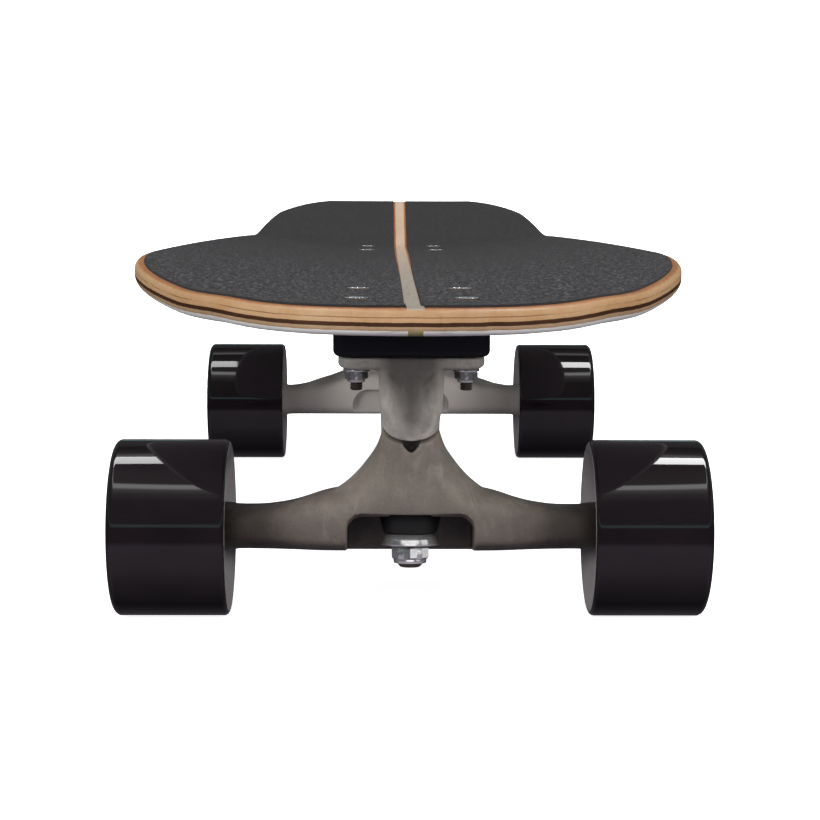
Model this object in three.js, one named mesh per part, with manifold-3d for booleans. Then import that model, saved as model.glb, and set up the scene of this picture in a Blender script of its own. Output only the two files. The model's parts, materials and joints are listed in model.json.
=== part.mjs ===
// Surf skateboard: a concave deck with a kicked tail, two tall cast surf trucks on riser pads and
// four soft wheels. Millimetres, +Z up, nose towards -Y, wheels standing on z = 0, with the origin
// under the middle of the deck.
import * as THREE from 'three'
import { mergeVertices } from 'three/addons/utils/BufferGeometryUtils.js'
import Module from 'manifold-3d'

const wasm = await Module()
wasm.setup()

// Driving dimensions of the board
const wheelbase = 450
const noseOverhang = 145
const tailOverhang = 167
const deckWidth = 241.5
const deckThickness = 9.2
const widestBehindAxle = 137
const noseRise = 4.2
const noseRiseLength = 88
const kickBehindAxle = 45
const kickBend = 20
const kickRise = 28
const railRise = 11
const flatWidth = 60
const railEdgeRadius = 3.4
const deckEndTrim = 0.8
const noseCurvePower = 1.8
const noseCurveShare = 0.438
const tailCurvePower = 1.15
const tailCurveShare = 0.185
const railCurvePower = 1.25
const noseRailLength = 45
const tailRailLength = 53
const endThinningShare = 0.55
const railRoundShare = 0.8

// Grip sheets on the deck
const gripThickness = 0.9
const gripGap = 0.3
const gripStripWidth = 5.6
const gripInset = 4.6
const gripInsetLimitShare = 0.6
const slopeStepShare = 0.25

// Trucks: where they bolt on, and the riser and plate between them and the deck
const boltFromAxle = 8
const boltPitchAcross = 41.3
const boltPitchAlong = 63.5
const seatGap = 0.3
const riserThickness = 10.8
const riserSideMargin = 8.6
const riserEndMargin = 12.25
const riserCorner = 6
const riserLip = 2.4
const plateSideMargin = 6.85
const plateEndMargin = 11.25
const plateThickness = 4.5
const plateCorner = 9
const plateLipInset = 2.2
const plateLipHeight = 1.6

// Steering geometry, seen from the side of the board and going up from the axle
const ringFromAxle = 19
const ringAboveAxle = 13
const pivotFromAxle = 35
const pivotAboveRing = 31.7
const plateAbovePivot = 27.5
const kingpinLeanDegrees = 5.6

// Baseplate casting
const pillarWidth = 24.4
const pillarDepth = 30
const pillarMouthRadius = 10.7
const pillarLip = 1.2
const pillarCorner = 7.4
const pillarTopCorner = 2
const pillarRecess = 0.8
const funnelHeight = 8
const funnelMiddleShare = 0.4
const channelLength = 7.5
const channelWidth = 23
const channelDepth = 3.2
const bossRootRadius = 13
const bossTipRadius = 11
const bossWebThickness = 11
const bossWebDrop = 17

// Pivot, its cup and the kingpin
const pivotRadius = 5
const cupFloor = 2
const cupOuterRadius = 7.8
const cupDepth = 12.5
const cupClearance = 0.35
const cupRoundShare = 0.4
const pivotTipShare = 0.55
const pivotTaperShare = 0.5
const kingpinRadius = 4.7
const kingpinTail = 1.6
const kingpinHeadRadius = 8
const kingpinHeadHeight = 4.5
const kingpinChamfer = 1
const kingpinClearance = 0.4
const ringThickness = 7
const ringBoreRadius = 6.8
const bushingRadius = 11.8
const bushingWaist = 10.6
const lowerBushingTip = 10.3
const lowerShoulderShare = 0.35
const upperShoulderShare = 0.2
const bushingGap = 0.3
const lowerBushingLength = 7.6
const upperBushingLength = 12.5
const washerRadius = 11.2
const washerThickness = 1.6
const washerLip = 3
const washerLipWall = 1.5
const kingpinNutFlats = 14.3
const kingpinNutHeight = 5
const kingpinNutCollar = 1.8

// Hanger casting
const axleRadius = 4
const axleClearance = 0.25
const axleOverhang = 2.2
const axleChamfer = 0.8
const hangerTubeRadius = 9.4
const hangerCollarRadius = 10.2
const hangerFront = 34
const hangerTop = 17
const moundHalfWidth = 40
const moundHalfDepth = 18
const neckRadius = 10.8
const neckGap = 1.2
const upperPocketAcross = 18.5
const upperPocketAlong = 14.6
const archWidth = 48.6
const archRound = 8
const archWall = 2.2
const backReliefWidth = 47
const backReliefTop = 30
const backReliefHeight = 17
const backReliefDepth = 2.6
const peakNotchWidth = 11
const peakNotchDrop = 5
const peakNotchDepth = 2.2

// Wheels and bearings
const wheelRadius = 35.3
const wheelWidth = 45.6
const wheelCentre = 94.1
const outerLip = 5.5
const innerLip = 3.4
const coreRadius = 16.5
const coreWidth = 24.8
const coreBore = 8.6
const coreChamfer = 2.2
const coreGap = 0.3
const recessRadius = 22.5
const recessFloor = 2
const bearingOuterRadius = 11
const bearingClearance = 0.3
const bearingWidth = 7
const bearingGap = 0.25
const axleNutFlats = 12.7
const axleNutHeight = 5
const axleNutCollar = 1.5

// Deck bolts and their nuts
const boltRadius = 2.4
const boltClearance = 0.4
const boltHeadRadius = 4.6
const boltHeadHeight = 2.6
const boltHeadProud = 0.15
const boltTail = 3
const boltNutFlats = 9.2
const boltNutHeight = 4
const boltNutCollar = 1.1

// One overrun for every cut, how far a facet may stray, and the facet counts
const overrun = 5
const facetTolerance = 0.02
const wheelSides = 24
const roundSides = 12
const smallSides = 10
const hangerSides = 16

// Heights that follow from the sizes above
const axleHeight = wheelRadius * Math.cos(Math.PI / wheelSides)
const riserWidth = boltPitchAcross + 2 * riserSideMargin
const riserLength = boltPitchAlong + 2 * riserEndMargin
const plateWidth = boltPitchAcross + 2 * plateSideMargin
const plateLength = boltPitchAlong + 2 * plateEndMargin
const pivotReach = cupDepth - cupFloor
const ringHeight = axleHeight + ringAboveAxle
const pivotHeight = ringHeight + pivotAboveRing
const plateTopHeight = pivotHeight + plateAbovePivot
const riserTopHeight = plateTopHeight + seatGap + riserThickness
const deckUnderHeight = riserTopHeight + seatGap
const deckTopHeight = deckUnderHeight + deckThickness
const plateUnderHeight = plateTopHeight - plateThickness
const deckNutTop = plateUnderHeight - seatGap
const deckLength = noseOverhang + wheelbase + tailOverhang
const widestFromNose = noseOverhang + widestBehindAxle
const kickFromNose = noseOverhang + wheelbase + kickBehindAxle
const halfDeck = deckLength / 2
const frontAxlePlace = noseOverhang - halfDeck
const rearAxlePlace = frontAxlePlace + wheelbase
const hangerHalf = wheelCentre - coreWidth / 2 - bearingGap
const axleHalf = wheelCentre + coreWidth / 2 + bearingGap + axleNutHeight + axleNutCollar + axleOverhang

// Ring centre, pivot mouth and the two axes in the truck's own frame, where the axle is at y = 0
const ringCentre = new THREE.Vector3(0, -ringFromAxle, ringHeight)
const pivotMouth = new THREE.Vector3(0, -pivotFromAxle, pivotHeight)
const steerAxis = pivotMouth.clone().sub(ringCentre).normalize()
const kingpinLean = THREE.MathUtils.degToRad(kingpinLeanDegrees)
const kingpinAxis = new THREE.Vector3(0, Math.sin(kingpinLean), Math.cos(kingpinLean))
const downAxis = kingpinAxis.clone().negate()

// Distances along the kingpin from the ring's centre: up to the boss, then down to what is clamped below
const ringHalf = ringThickness / 2
const bossTipRise = ringHalf + upperBushingLength + 2 * bushingGap
const lowerBushingTop = ringHalf + bushingGap
const washerTop = lowerBushingTop + lowerBushingLength + bushingGap
const kingpinNutTop = washerTop + washerThickness + washerLip + bushingGap

function finish(colour, roughness, metalness) {
  return new THREE.MeshStandardMaterial({ color: colour, roughness, metalness })
}

const materials = {
  maple: finish(0xc8965a, 0.5, 0),
  grip: finish(0x4b484b, 0.95, 0),
  riser: finish(0x1c1c1d, 0.75, 0),
  casting: finish(0x857c73, 0.45, 1),
  urethane: finish(0x0c0c0d, 0.18, 0),
  bushing: finish(0x161616, 0.5, 0),
  core: finish(0x2b2b2c, 0.5, 0),
  steel: finish(0xb9b9bb, 0.25, 1),
  blackSteel: finish(0x2a2a2c, 0.4, 1),
}

// Where the points of a small quarter round lie along it
const arcShares = [0, 0.5, 1]

// Geometry helpers

function solidOf(geometry) {
  const bare = geometry.clone()
  bare.deleteAttribute('normal')
  bare.deleteAttribute('uv')
  const merged = mergeVertices(bare)
  const vertProperties = new Float32Array(merged.attributes.position.array)
  const triVerts = new Uint32Array(merged.index.array)
  return new wasm.Manifold(new wasm.Mesh({ numProp: 3, vertProperties, triVerts }))
}

function geometryOf(solid) {
  const mesh = solid.simplify(facetTolerance).getMesh()
  const geometry = new THREE.BufferGeometry()
  geometry.setAttribute('position', new THREE.BufferAttribute(new Float32Array(mesh.vertProperties), 3))
  geometry.setIndex(new THREE.BufferAttribute(new Uint32Array(mesh.triVerts), 1))
  const flat = geometry.toNonIndexed()
  flat.computeVertexNormals()
  return flat
}

function joined(first, ...others) {
  return others.reduce((sum, other) => sum.add(other), first)
}

function without(first, ...others) {
  return others.reduce((rest, other) => rest.subtract(other), first)
}

// A stack of closed rings of equal count, capped at both ends
function loftGeometry(rings) {
  const count = rings[0].length
  const positions = rings.flat().flatMap((point) => [point.x, point.y, point.z])
  const index = []
  for (let row = 0; row + 1 < rings.length; row += 1) {
    for (let i = 0; i < count; i += 1) {
      const next = (i + 1) % count
      const a = row * count + i
      const b = row * count + next
      index.push(a, b, b + count)
      index.push(a, b + count, a + count)
    }
  }
  const last = (rings.length - 1) * count
  const faces = THREE.ShapeUtils.triangulateShape(flattened(rings[0]), [])
  const endFaces = THREE.ShapeUtils.triangulateShape(flattened(rings[rings.length - 1]), [])
  for (const [a, b, c] of faces) index.push(a, c, b)
  for (const [a, b, c] of endFaces) index.push(last + a, last + b, last + c)
  const geometry = new THREE.BufferGeometry()
  geometry.setAttribute('position', new THREE.Float32BufferAttribute(positions, 3))
  geometry.setIndex(index)
  return outward(geometry)
}

// A ring's points in its own plane, for the caps
function flattened(ring) {
  const normal = new THREE.Vector3()
  ring.forEach((point, i) => normal.add(point.clone().cross(ring[(i + 1) % ring.length])))
  const turn = new THREE.Quaternion().setFromUnitVectors(normal.normalize(), new THREE.Vector3(0, 0, 1))
  return ring.map((point) => {
    const flat = point.clone().applyQuaternion(turn)
    return new THREE.Vector2(flat.x, flat.y)
  })
}

// Drops faces whose corners fell together, and turns the rest over if the mesh came out inside out
function outward(geometry) {
  const place = geometry.attributes.position
  const index = geometry.index.array
  const [a, b, c] = [new THREE.Vector3(), new THREE.Vector3(), new THREE.Vector3()]
  const faces = []
  let volume = 0
  for (let i = 0; i < index.length; i += 3) {
    const face = [index[i], index[i + 1], index[i + 2]]
    if (new Set(face).size < 3) continue
    a.fromBufferAttribute(place, face[0])
    b.fromBufferAttribute(place, face[1])
    c.fromBufferAttribute(place, face[2])
    volume += a.dot(b.cross(c))
    faces.push(face)
  }
  geometry.setIndex(faces.flatMap(([p, q, r]) => (volume < 0 ? [p, r, q] : [p, q, r])))
  return geometry
}

// A profile of [radius, height] pairs turned about +Z, then laid along an axis from a foot point
function turned(profile, sides, foot, axis, closed = false) {
  const points = profile.map(([radius, height]) => new THREE.Vector2(radius, height))
  if (closed) points.push(points[0].clone())
  const geometry = new THREE.LatheGeometry(points, sides)
  geometry.rotateX(Math.PI / 2)
  const turn = new THREE.Quaternion().setFromUnitVectors(new THREE.Vector3(0, 0, 1), axis)
  geometry.applyQuaternion(turn)
  geometry.translate(foot.x, foot.y, foot.z)
  return outward(mergeVertices(stripped(geometry)))
}

function stripped(geometry) {
  geometry.deleteAttribute('normal')
  geometry.deleteAttribute('uv')
  return geometry
}

function rod(radius, from, to, sides) {
  const axis = to.clone().sub(from)
  const length = axis.length()
  return turned([[0, 0], [radius, 0], [radius, length], [0, length]], sides, from, axis.normalize())
}

// A flat outline of [x, y] pairs raised from one height to another
function raised(outline, low, high, holes = []) {
  const shape = new THREE.Shape(outline.map(([x, y]) => new THREE.Vector2(x, y)))
  for (const hole of holes) shape.holes.push(hole)
  const geometry = new THREE.ExtrudeGeometry(shape, { depth: high - low, bevelEnabled: false })
  geometry.translate(0, 0, low)
  return mergeVertices(stripped(geometry))
}

// A side outline of [y, z] pairs, made equally thick on both sides of x = 0
function sideWeb(outline, thickness) {
  const geometry = raised(outline, -thickness / 2, thickness / 2)
  geometry.applyMatrix4(new THREE.Matrix4().set(0, 0, 1, 0, 1, 0, 0, 0, 0, 1, 0, 0, 0, 0, 0, 1))
  return geometry
}

// A front outline of [x, z] pairs, cut or filled between two places along the board
function frontBlock(outline, near, far) {
  const geometry = raised(outline, -far, -near)
  geometry.rotateX(Math.PI / 2)
  return geometry
}

function roundedRectangle(width, length, corner, middleY, steps) {
  const points = []
  const turns = [[1, 1], [-1, 1], [-1, -1], [1, -1]]
  turns.forEach(([sx, sy], quarter) => {
    for (let i = 0; i <= steps; i += 1) {
      const angle = (quarter + i / steps) * Math.PI / 2
      points.push([
        sx * (width / 2 - corner) + corner * Math.cos(angle),
        middleY + sy * (length / 2 - corner) + corner * Math.sin(angle),
      ])
    }
  })
  return points
}

function hexagon(flats) {
  const corner = flats / 2 / Math.cos(Math.PI / 6)
  return Array.from({ length: 6 }, (unused, i) => {
    const angle = i * Math.PI / 3
    return [corner * Math.cos(angle), corner * Math.sin(angle)]
  })
}

// A lock nut from a foot point along an axis: a hexagon with a round collar past it
function lockNut(flats, height, collar, bore, foot, axis) {
  const block = solidOf(raised(hexagon(flats), 0, height))
  const ring = verticalRod(flats / 2 - collar / 2, 0, 0, height / 2, height + collar, roundSides)
  const hole = verticalRod(bore, 0, 0, -overrun, height + collar + overrun, smallSides)
  const geometry = geometryOf(without(joined(block, ring), hole))
  geometry.applyQuaternion(new THREE.Quaternion().setFromUnitVectors(new THREE.Vector3(0, 0, 1), axis))
  geometry.translate(foot.x, foot.y, foot.z)
  return geometry
}

// Deck surface: outline, lengthwise curve and concave

function halfWidthAt(s) {
  const place = Math.min(Math.max(s, deckEndTrim), deckLength - deckEndTrim)
  if (place < widestFromNose) {
    const u = 1 - place / widestFromNose
    return deckWidth / 2 * (1 - u ** noseCurvePower) ** noseCurveShare
  }
  const v = (place - widestFromNose) / (deckLength - widestFromNose)
  return deckWidth / 2 * (1 - v ** tailCurvePower) ** tailCurveShare
}

function centreRiseAt(s) {
  if (s < noseRiseLength) return noseRise * (1 + Math.cos(Math.PI * s / noseRiseLength)) / 2
  const past = Math.max(s - kickFromNose, 0)
  const slope = kickRise / (deckLength - kickFromNose - kickBend / 2)
  if (past < kickBend) return slope * past * past / (2 * kickBend)
  return slope * (past - kickBend / 2)
}

function concaveAt(s, x) {
  const past = Math.max(Math.abs(x) - flatWidth / 2, 0) / (deckWidth / 2 - flatWidth / 2)
  const fade = Math.min(1, s / noseRailLength, (deckLength - s) / tailRailLength)
  return railRise * fade * past ** railCurvePower
}

function deckTopAt(s, x) {
  return deckTopHeight + centreRiseAt(s) + concaveAt(s, x)
}

// How far the grip's edge stays inside the outline, measured across the board
function gripInsetAt(s) {
  const step = gripInset * slopeStepShare
  const slope = (halfWidthAt(s + step) - halfWidthAt(s - step)) / (2 * step)
  return Math.min(gripInset * Math.hypot(1, slope), halfWidthAt(s) * gripInsetLimitShare)
}

const gripLineShares = [0, 0.24, 0.5, 0.76, 1]

function gripLinesAt(s) {
  const inner = gripStripWidth / 2
  const outer = halfWidthAt(s) - gripInsetAt(s)
  return gripLineShares.map((share) => inner + share * (outer - inner))
}

const noseStationShares = [0, 0.008, 0.022, 0.05, 0.1, 0.18, 0.29, 0.44, 0.62, 0.8, 1]
const bodyStationShares = [0.2, 0.4, 0.6, 0.8, 1]
const kickStationShares = [0.5, 1]
const tailStationShares = [0.2, 0.38, 0.54, 0.68, 0.8, 0.89, 0.95, 0.982, 1]

const stations = [
  ...noseStationShares.map((share) => share * widestFromNose),
  ...bodyStationShares.map((share) => widestFromNose + share * (kickFromNose - widestFromNose)),
  ...kickStationShares.map((share) => kickFromNose + share * kickBend),
  ...tailStationShares.map((share) => {
    const start = kickFromNose + kickBend
    return start + share * (deckLength - start)
  }),
]

// Share of the full thickness left where the board's ends are rounded
function endRoundShare(s) {
  const fromEnd = Math.min(s, deckLength - s)
  const gone = Math.max(1 - fromEnd / railEdgeRadius, 0)
  return 1 - endThinningShare * gone ** 2
}

function deckRing(s) {
  const half = halfWidthAt(s)
  const lines = gripLinesAt(s)
  const round = Math.min(railEdgeRadius, (half - lines[lines.length - 1]) * railRoundShare)
  const squeeze = endRoundShare(s)
  const side = []
  for (const x of lines) side.push([x, 0])
  for (const share of arcShares) {
    const angle = share * Math.PI / 2
    side.push([half - round + round * Math.sin(angle), railEdgeRadius * (1 - Math.cos(angle))])
  }
  for (const share of arcShares) {
    const angle = share * Math.PI / 2
    side.push([half - round + round * Math.cos(angle),
      deckThickness - railEdgeRadius * (1 - Math.sin(angle))])
  }
  for (const x of [lines[3], lines[1]]) side.push([x, deckThickness])
  const place = ([x, drop]) => {
    const middle = deckThickness / 2
    const shown = middle + (drop - middle) * squeeze
    return new THREE.Vector3(x, s - halfDeck, deckTopAt(s, x) - shown)
  }
  const right = side.map(place)
  const left = side.map(place).reverse()
  for (const point of left) point.x = -point.x
  return [...right, ...left]
}

function boltPlaces() {
  const places = []
  for (const [axle, towards] of [[frontAxlePlace, -1], [rearAxlePlace, 1]]) {
    for (const along of [-1, 1]) {
      for (const across of [-1, 1]) {
        places.push([
          across * boltPitchAcross / 2,
          axle + towards * boltFromAxle + along * boltPitchAlong / 2,
        ])
      }
    }
  }
  return places
}

function verticalRod(radius, x, y, low, high, sides) {
  return solidOf(rod(radius, new THREE.Vector3(x, y, low), new THREE.Vector3(x, y, high), sides))
}

// The head shows just above the grip sheets, which makes it a white dash from the photograph's height
function boltTopHeight() {
  return deckTopHeight + gripGap + gripThickness + boltHeadProud
}

function boltSink(x, y) {
  const top = boltTopHeight()
  const head = boltHeadRadius + boltClearance
  const shank = boltRadius + boltClearance
  const low = deckUnderHeight - top - overrun
  const profile = [[0, low], [shank, low], [shank, -boltHeadHeight], [head, 0], [head, overrun], [0, overrun]]
  return solidOf(turned(profile, smallSides, new THREE.Vector3(x, y, top), new THREE.Vector3(0, 0, 1)))
}

function deckGeometry() {
  const board = solidOf(loftGeometry(stations.map(deckRing)))
  const sinks = boltPlaces().map(([x, y]) => boltSink(x, y))
  return geometryOf(without(board, ...sinks))
}

// Runs round each side in the deck's own order, so that both meshes split their faces the same way
function gripRing(s, side) {
  const lines = gripLinesAt(s)
  const under = lines.map((x) => [x, gripGap])
  const over = lines.map((x) => [x, gripGap + gripThickness]).reverse()
  const ring = [...under, ...over].map(([x, lift]) =>
    new THREE.Vector3(side * x, s - halfDeck, deckTopAt(s, x) + lift))
  return side > 0 ? ring : ring.reverse()
}

function gripGeometry(side) {
  const covered = stations.filter((s) => s > gripInset && s < deckLength - gripInset)
  const sheet = solidOf(loftGeometry(covered.map((s) => gripRing(s, side))))
  const holes = boltPlaces()
    .filter(([x]) => x * side > 0)
    .map(([x, y]) => verticalRod(boltHeadRadius + boltClearance, x, y, deckUnderHeight, deckTopHeight + overrun,
      smallSides))
  return geometryOf(without(sheet, ...holes))
}

// Truck pieces, all in the truck's own frame with the pivot side towards -y

function truckBoltPlaces() {
  const places = []
  for (const along of [-1, 1]) {
    for (const across of [-1, 1]) {
      places.push([across * boltPitchAcross / 2, -boltFromAxle + along * boltPitchAlong / 2])
    }
  }
  return places
}

function boltHoles(low, high) {
  return truckBoltPlaces().map(([x, y]) =>
    verticalRod(boltRadius + boltClearance, x, y, low - overrun, high + overrun, smallSides))
}

// A rounded rectangle under the deck, drawn in all round by an inset
function padRing(width, length, corner, inset, height) {
  return roundedRectangle(width - 2 * inset, length - 2 * inset, corner - inset, -boltFromAxle, 3)
    .map(([x, y]) => new THREE.Vector3(x, y, height))
}

// Moulded pad whose lower edge is rounded
function riserGeometry() {
  const low = plateTopHeight + seatGap
  const levels = arcShares.map((share) => {
    const angle = share * Math.PI / 2
    return [riserLip * (1 - Math.sin(angle)), low + riserLip * (1 - Math.cos(angle))]
  })
  levels.push([0, riserTopHeight])
  const rings = levels.map(([inset, height]) => padRing(riserWidth, riserLength, riserCorner, inset, height))
  const pad = solidOf(loftGeometry(rings))
  return geometryOf(without(pad, ...boltHoles(low, riserTopHeight)))
}

// Cast plate whose lower edge steps in
function plateSolid() {
  const levels = [[plateLipInset, plateUnderHeight], [0, plateUnderHeight + plateLipHeight], [0, plateTopHeight]]
  const rings = levels.map(([inset, height]) => padRing(plateWidth, plateLength, plateCorner, inset, height))
  return solidOf(loftGeometry(rings))
}

// A ring of the pillar square to the pivot, as far up the steering axis as given
function mouthRing(radius, along) {
  const centre = pivotMouth.clone().addScaledVector(steerAxis, along)
  const forward = new THREE.Vector3(0, steerAxis.z, -steerAxis.y)
  return roundedRectangle(radius * 2, radius * 2, radius, 0, 4).map(([x, y]) =>
    centre.clone().add(new THREE.Vector3(x, 0, 0)).addScaledVector(forward, y))
}

const scoopShares = [-1.15, -0.75, -0.35, 0, 0.35, 0.75, 1.15]
const scoopWidthShares = [1, 0.83, 0.54, 0.4, 0.16]
const scoopDepthShares = [1, 1, 0.75, 0.34, 0.1]

// A level ring of the pillar: its front face runs flat between two rounded flanks
function pillarRing(width, frontCorner, setBack, height) {
  const front = -boltFromAxle - plateLength / 2 + setBack
  const middle = front + pillarDepth / 2
  return roundedRectangle(width, pillarDepth, frontCorner, middle, 4).map(([x, y]) =>
    new THREE.Vector3(x, y, height))
}

// The pillar grows from the round mouth of the pivot cup to a block under the plate. Its front
// flares out at the top, so the flat of the front face widens into a funnel.
function pillarSolid() {
  const top = plateUnderHeight
  const middleWidth = (pillarWidth + pillarMouthRadius * 2) / 2
  return solidOf(loftGeometry([
    mouthRing(pillarMouthRadius - pillarLip, 0),
    mouthRing(pillarMouthRadius, pillarLip),
    pillarRing(middleWidth, pillarCorner, pillarRecess, top - funnelHeight - channelLength),
    pillarRing(pillarWidth, pillarCorner, pillarRecess, top - funnelHeight),
    pillarRing(pillarWidth, (pillarCorner + pillarTopCorner) / 2, pillarRecess / 2,
      top - funnelHeight * funnelMiddleShare),
    pillarRing(pillarWidth, pillarTopCorner, plateLipInset, top),
    pillarRing(pillarWidth, pillarTopCorner, plateLipInset, top + plateThickness / 2),
  ]))
}

// A level ring of the scoop: a parabola back from the front face and two corners before it
function scoopRing(widthShare, depthShare, front, height) {
  const half = widthShare * channelWidth / 2
  const depth = depthShare * channelDepth
  const back = scoopShares.map((share) =>
    new THREE.Vector3(share * half, front + depth * (1 - share * share), height))
  const face = [scoopShares.at(-1), scoopShares[0]].map((share) =>
    new THREE.Vector3(share * half, front - overrun, height))
  return [...back, ...face]
}

// The scoop in the pillar's front: a wide bowl under the plate that narrows to a channel and runs
// out at the lip
function scoopCut() {
  const front = -boltFromAxle - plateLength / 2
  const top = plateUnderHeight
  const lip = pivotMouth.clone().addScaledVector(steerAxis, pillarLip)
  const lipFront = lip.y - pillarMouthRadius * steerAxis.z
  const lipHeight = lip.z + pillarMouthRadius * steerAxis.y
  const places = [
    [front, top + plateLipHeight],
    [front + pillarRecess / 2, top - funnelHeight * funnelMiddleShare],
    [front + pillarRecess, top - funnelHeight],
    [front + pillarRecess, top - funnelHeight - channelLength],
    [lipFront, lipHeight],
  ]
  return solidOf(loftGeometry(places.map(([face, height], i) =>
    scoopRing(scoopWidthShares[i], scoopDepthShares[i], face, height))))
}

function downKingpin(distance) {
  return ringCentre.clone().addScaledVector(downAxis, distance)
}

function kingpinPoint(height) {
  const along = (height - ringCentre.z) / kingpinAxis.z
  return ringCentre.clone().addScaledVector(kingpinAxis, along)
}

function bossSolid() {
  const foot = downKingpin(-bossTipRise)
  const head = kingpinPoint(plateUnderHeight + plateThickness / 2)
  const length = head.distanceTo(foot)
  const profile = [[0, 0], [bossTipRadius - washerLip / 2, 0], [bossTipRadius, washerLip / 2],
    [bossTipRadius + (bossRootRadius - bossTipRadius) / 3, length / 2], [bossRootRadius, length], [0, length]]
  return solidOf(turned(profile, roundSides, foot, kingpinAxis))
}

function baseplateGeometry() {
  const webLow = plateUnderHeight - bossWebDrop
  const web = solidOf(sideWeb([
    [-pivotFromAxle, webLow], [-ringFromAxle, webLow],
    [plateLength / 2 - boltFromAxle - plateCorner, plateUnderHeight],
    [plateLength / 2 - boltFromAxle - plateCorner, plateUnderHeight + plateThickness / 2],
    [-pivotFromAxle, plateUnderHeight + plateThickness / 2],
  ], bossWebThickness))
  const body = joined(plateSolid(), web, pillarSolid(), bossSolid())
  const cupMouth = pivotMouth.clone().addScaledVector(steerAxis, -overrun)
  const cupEnd = pivotMouth.clone().addScaledVector(steerAxis, cupDepth)
  const cupPocket = solidOf(rod(cupOuterRadius + cupClearance, cupMouth, cupEnd, roundSides))
  const boreFoot = downKingpin(overrun - bossTipRise)
  const boreHead = kingpinPoint(plateTopHeight + overrun)
  const bore = solidOf(rod(kingpinRadius + kingpinClearance, boreFoot, boreHead, roundSides))
  const headSeat = kingpinHeadFoot().addScaledVector(kingpinAxis, -kingpinClearance)
  const headPocket = solidOf(rod(kingpinHeadRadius + kingpinClearance, headSeat, boreHead, roundSides))
  const holes = boltHoles(plateUnderHeight, plateTopHeight)
  return geometryOf(without(body, scoopCut(), cupPocket, bore, headPocket, ...holes))
}

function pivotCupGeometry() {
  const end = cupDepth - cupClearance
  const wall = pivotRadius + cupClearance
  const floor = pivotReach + cupClearance
  const round = wall * cupRoundShare
  const profile = [[0, floor], [wall - round, floor], [wall, floor - round], [wall, 0],
    [cupOuterRadius, 0], [cupOuterRadius, end], [0, end]]
  return turned(profile, roundSides, pivotMouth, steerAxis)
}

function kingpinHeadFoot() {
  return kingpinPoint(plateTopHeight - kingpinHeadHeight - kingpinClearance)
}

function kingpinGeometry() {
  const foot = downKingpin(kingpinNutTop + kingpinNutHeight + kingpinNutCollar + kingpinTail)
  const seat = kingpinHeadFoot().distanceTo(foot)
  const top = seat + kingpinHeadHeight - kingpinHeadRadius * Math.sin(kingpinLean)
  const profile = [
    [0, 0], [kingpinRadius - kingpinChamfer, 0], [kingpinRadius, kingpinChamfer], [kingpinRadius, seat],
    [kingpinHeadRadius, seat], [kingpinHeadRadius, top], [0, top],
  ]
  return turned(profile, roundSides, foot, kingpinAxis)
}

function lowerBushingGeometry() {
  const bore = kingpinRadius + kingpinClearance
  const profile = [
    [bore, 0], [bushingRadius, 0], [bushingRadius, lowerBushingLength * lowerShoulderShare],
    [lowerBushingTip, lowerBushingLength], [bore, lowerBushingLength],
  ]
  return turned(profile, roundSides, downKingpin(lowerBushingTop), downAxis, true)
}

function upperBushingGeometry() {
  const bore = kingpinRadius + kingpinClearance
  const foot = downKingpin(-ringHalf - bushingGap)
  const length = upperBushingLength
  const shoulder = length * upperShoulderShare
  const profile = [
    [bore, 0], [bushingRadius, 0], [bushingRadius, shoulder], [bushingWaist, length / 2],
    [bushingRadius, length - shoulder], [bushingRadius, length], [bore, length],
  ]
  return turned(profile, roundSides, foot, kingpinAxis, true)
}

// Cup washer: its lip points down towards the nut side, so the nut sits inside it
function washerGeometry() {
  const bore = kingpinRadius + kingpinClearance
  const height = washerThickness + washerLip
  const profile = [
    [bore, 0], [washerRadius - washerLipWall, 0], [washerRadius, washerLipWall], [washerRadius, height],
    [washerRadius - washerLipWall, height], [washerRadius - washerLipWall, washerThickness],
    [bore, washerThickness],
  ]
  return turned(profile, roundSides, downKingpin(washerTop), downAxis, true)
}

function kingpinNutGeometry() {
  const bore = kingpinRadius + kingpinClearance
  return lockNut(kingpinNutFlats, kingpinNutHeight, kingpinNutCollar, bore, downKingpin(kingpinNutTop), downAxis)
}

// Hanger casting: a bar along the axle, a mound that rises to the pivot, an arch below and a pocket above

const archRoundShares = [0, 0.25, 0.5, 0.75, 1]
const barPlaceShares = [0, 0.28, 0.37, 0.44, 0.52, 0.62, 0.73, 0.87, 1]
const barFrontShares = [1, 0.93, 0.76, 0.5, 0.2, 0.03, 0, 0, 0]
const barTopShares = [1, 0.98, 0.86, 0.66, 0.36, 0.12, 0, 0, 0]
const barSquareness = 1.2
const barSquareShares = [1, 0.9, 0.7, 0.45, 0.2, 0, 0, 0, 0]
const barCollarShares = [0, 0, 0, 0, 0, 0, 0, 1, 1]
const moundHeightShares = [0, 0.24, 0.34, 0.45, 0.55, 0.69, 0.85, 1]
const moundWidthShares = [1, 0.98, 0.84, 0.58, 0.4, 0.22, 0.07, 0]
const moundDepthShares = [1, 1, 0.94, 0.86, 0.72, 0.44, 0.17, 0]

// A point on an egg-shaped ring whose corners sharpen with the power
function eggPoint(angle, power) {
  const c = Math.cos(angle)
  const s = Math.sin(angle)
  return [Math.sign(c) * Math.abs(c) ** (2 / power), Math.sign(s) * Math.abs(s) ** (2 / power)]
}

function barRing(x, i) {
  const round = hangerTubeRadius + barCollarShares[i] * (hangerCollarRadius - hangerTubeRadius)
  const front = round + barFrontShares[i] * (hangerFront - round)
  const top = round + barTopShares[i] * (hangerTop - round)
  const power = 2 + barSquareShares[i] * barSquareness
  return Array.from({ length: hangerSides }, (unused, k) => {
    const angle = (k + 0.5) * 2 * Math.PI / hangerSides
    const [c, s] = eggPoint(angle, angle < Math.PI ? power : 2)
    return new THREE.Vector3(x, c * (c < 0 ? front : round), axleHeight + s * (s > 0 ? top : round))
  })
}

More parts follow.
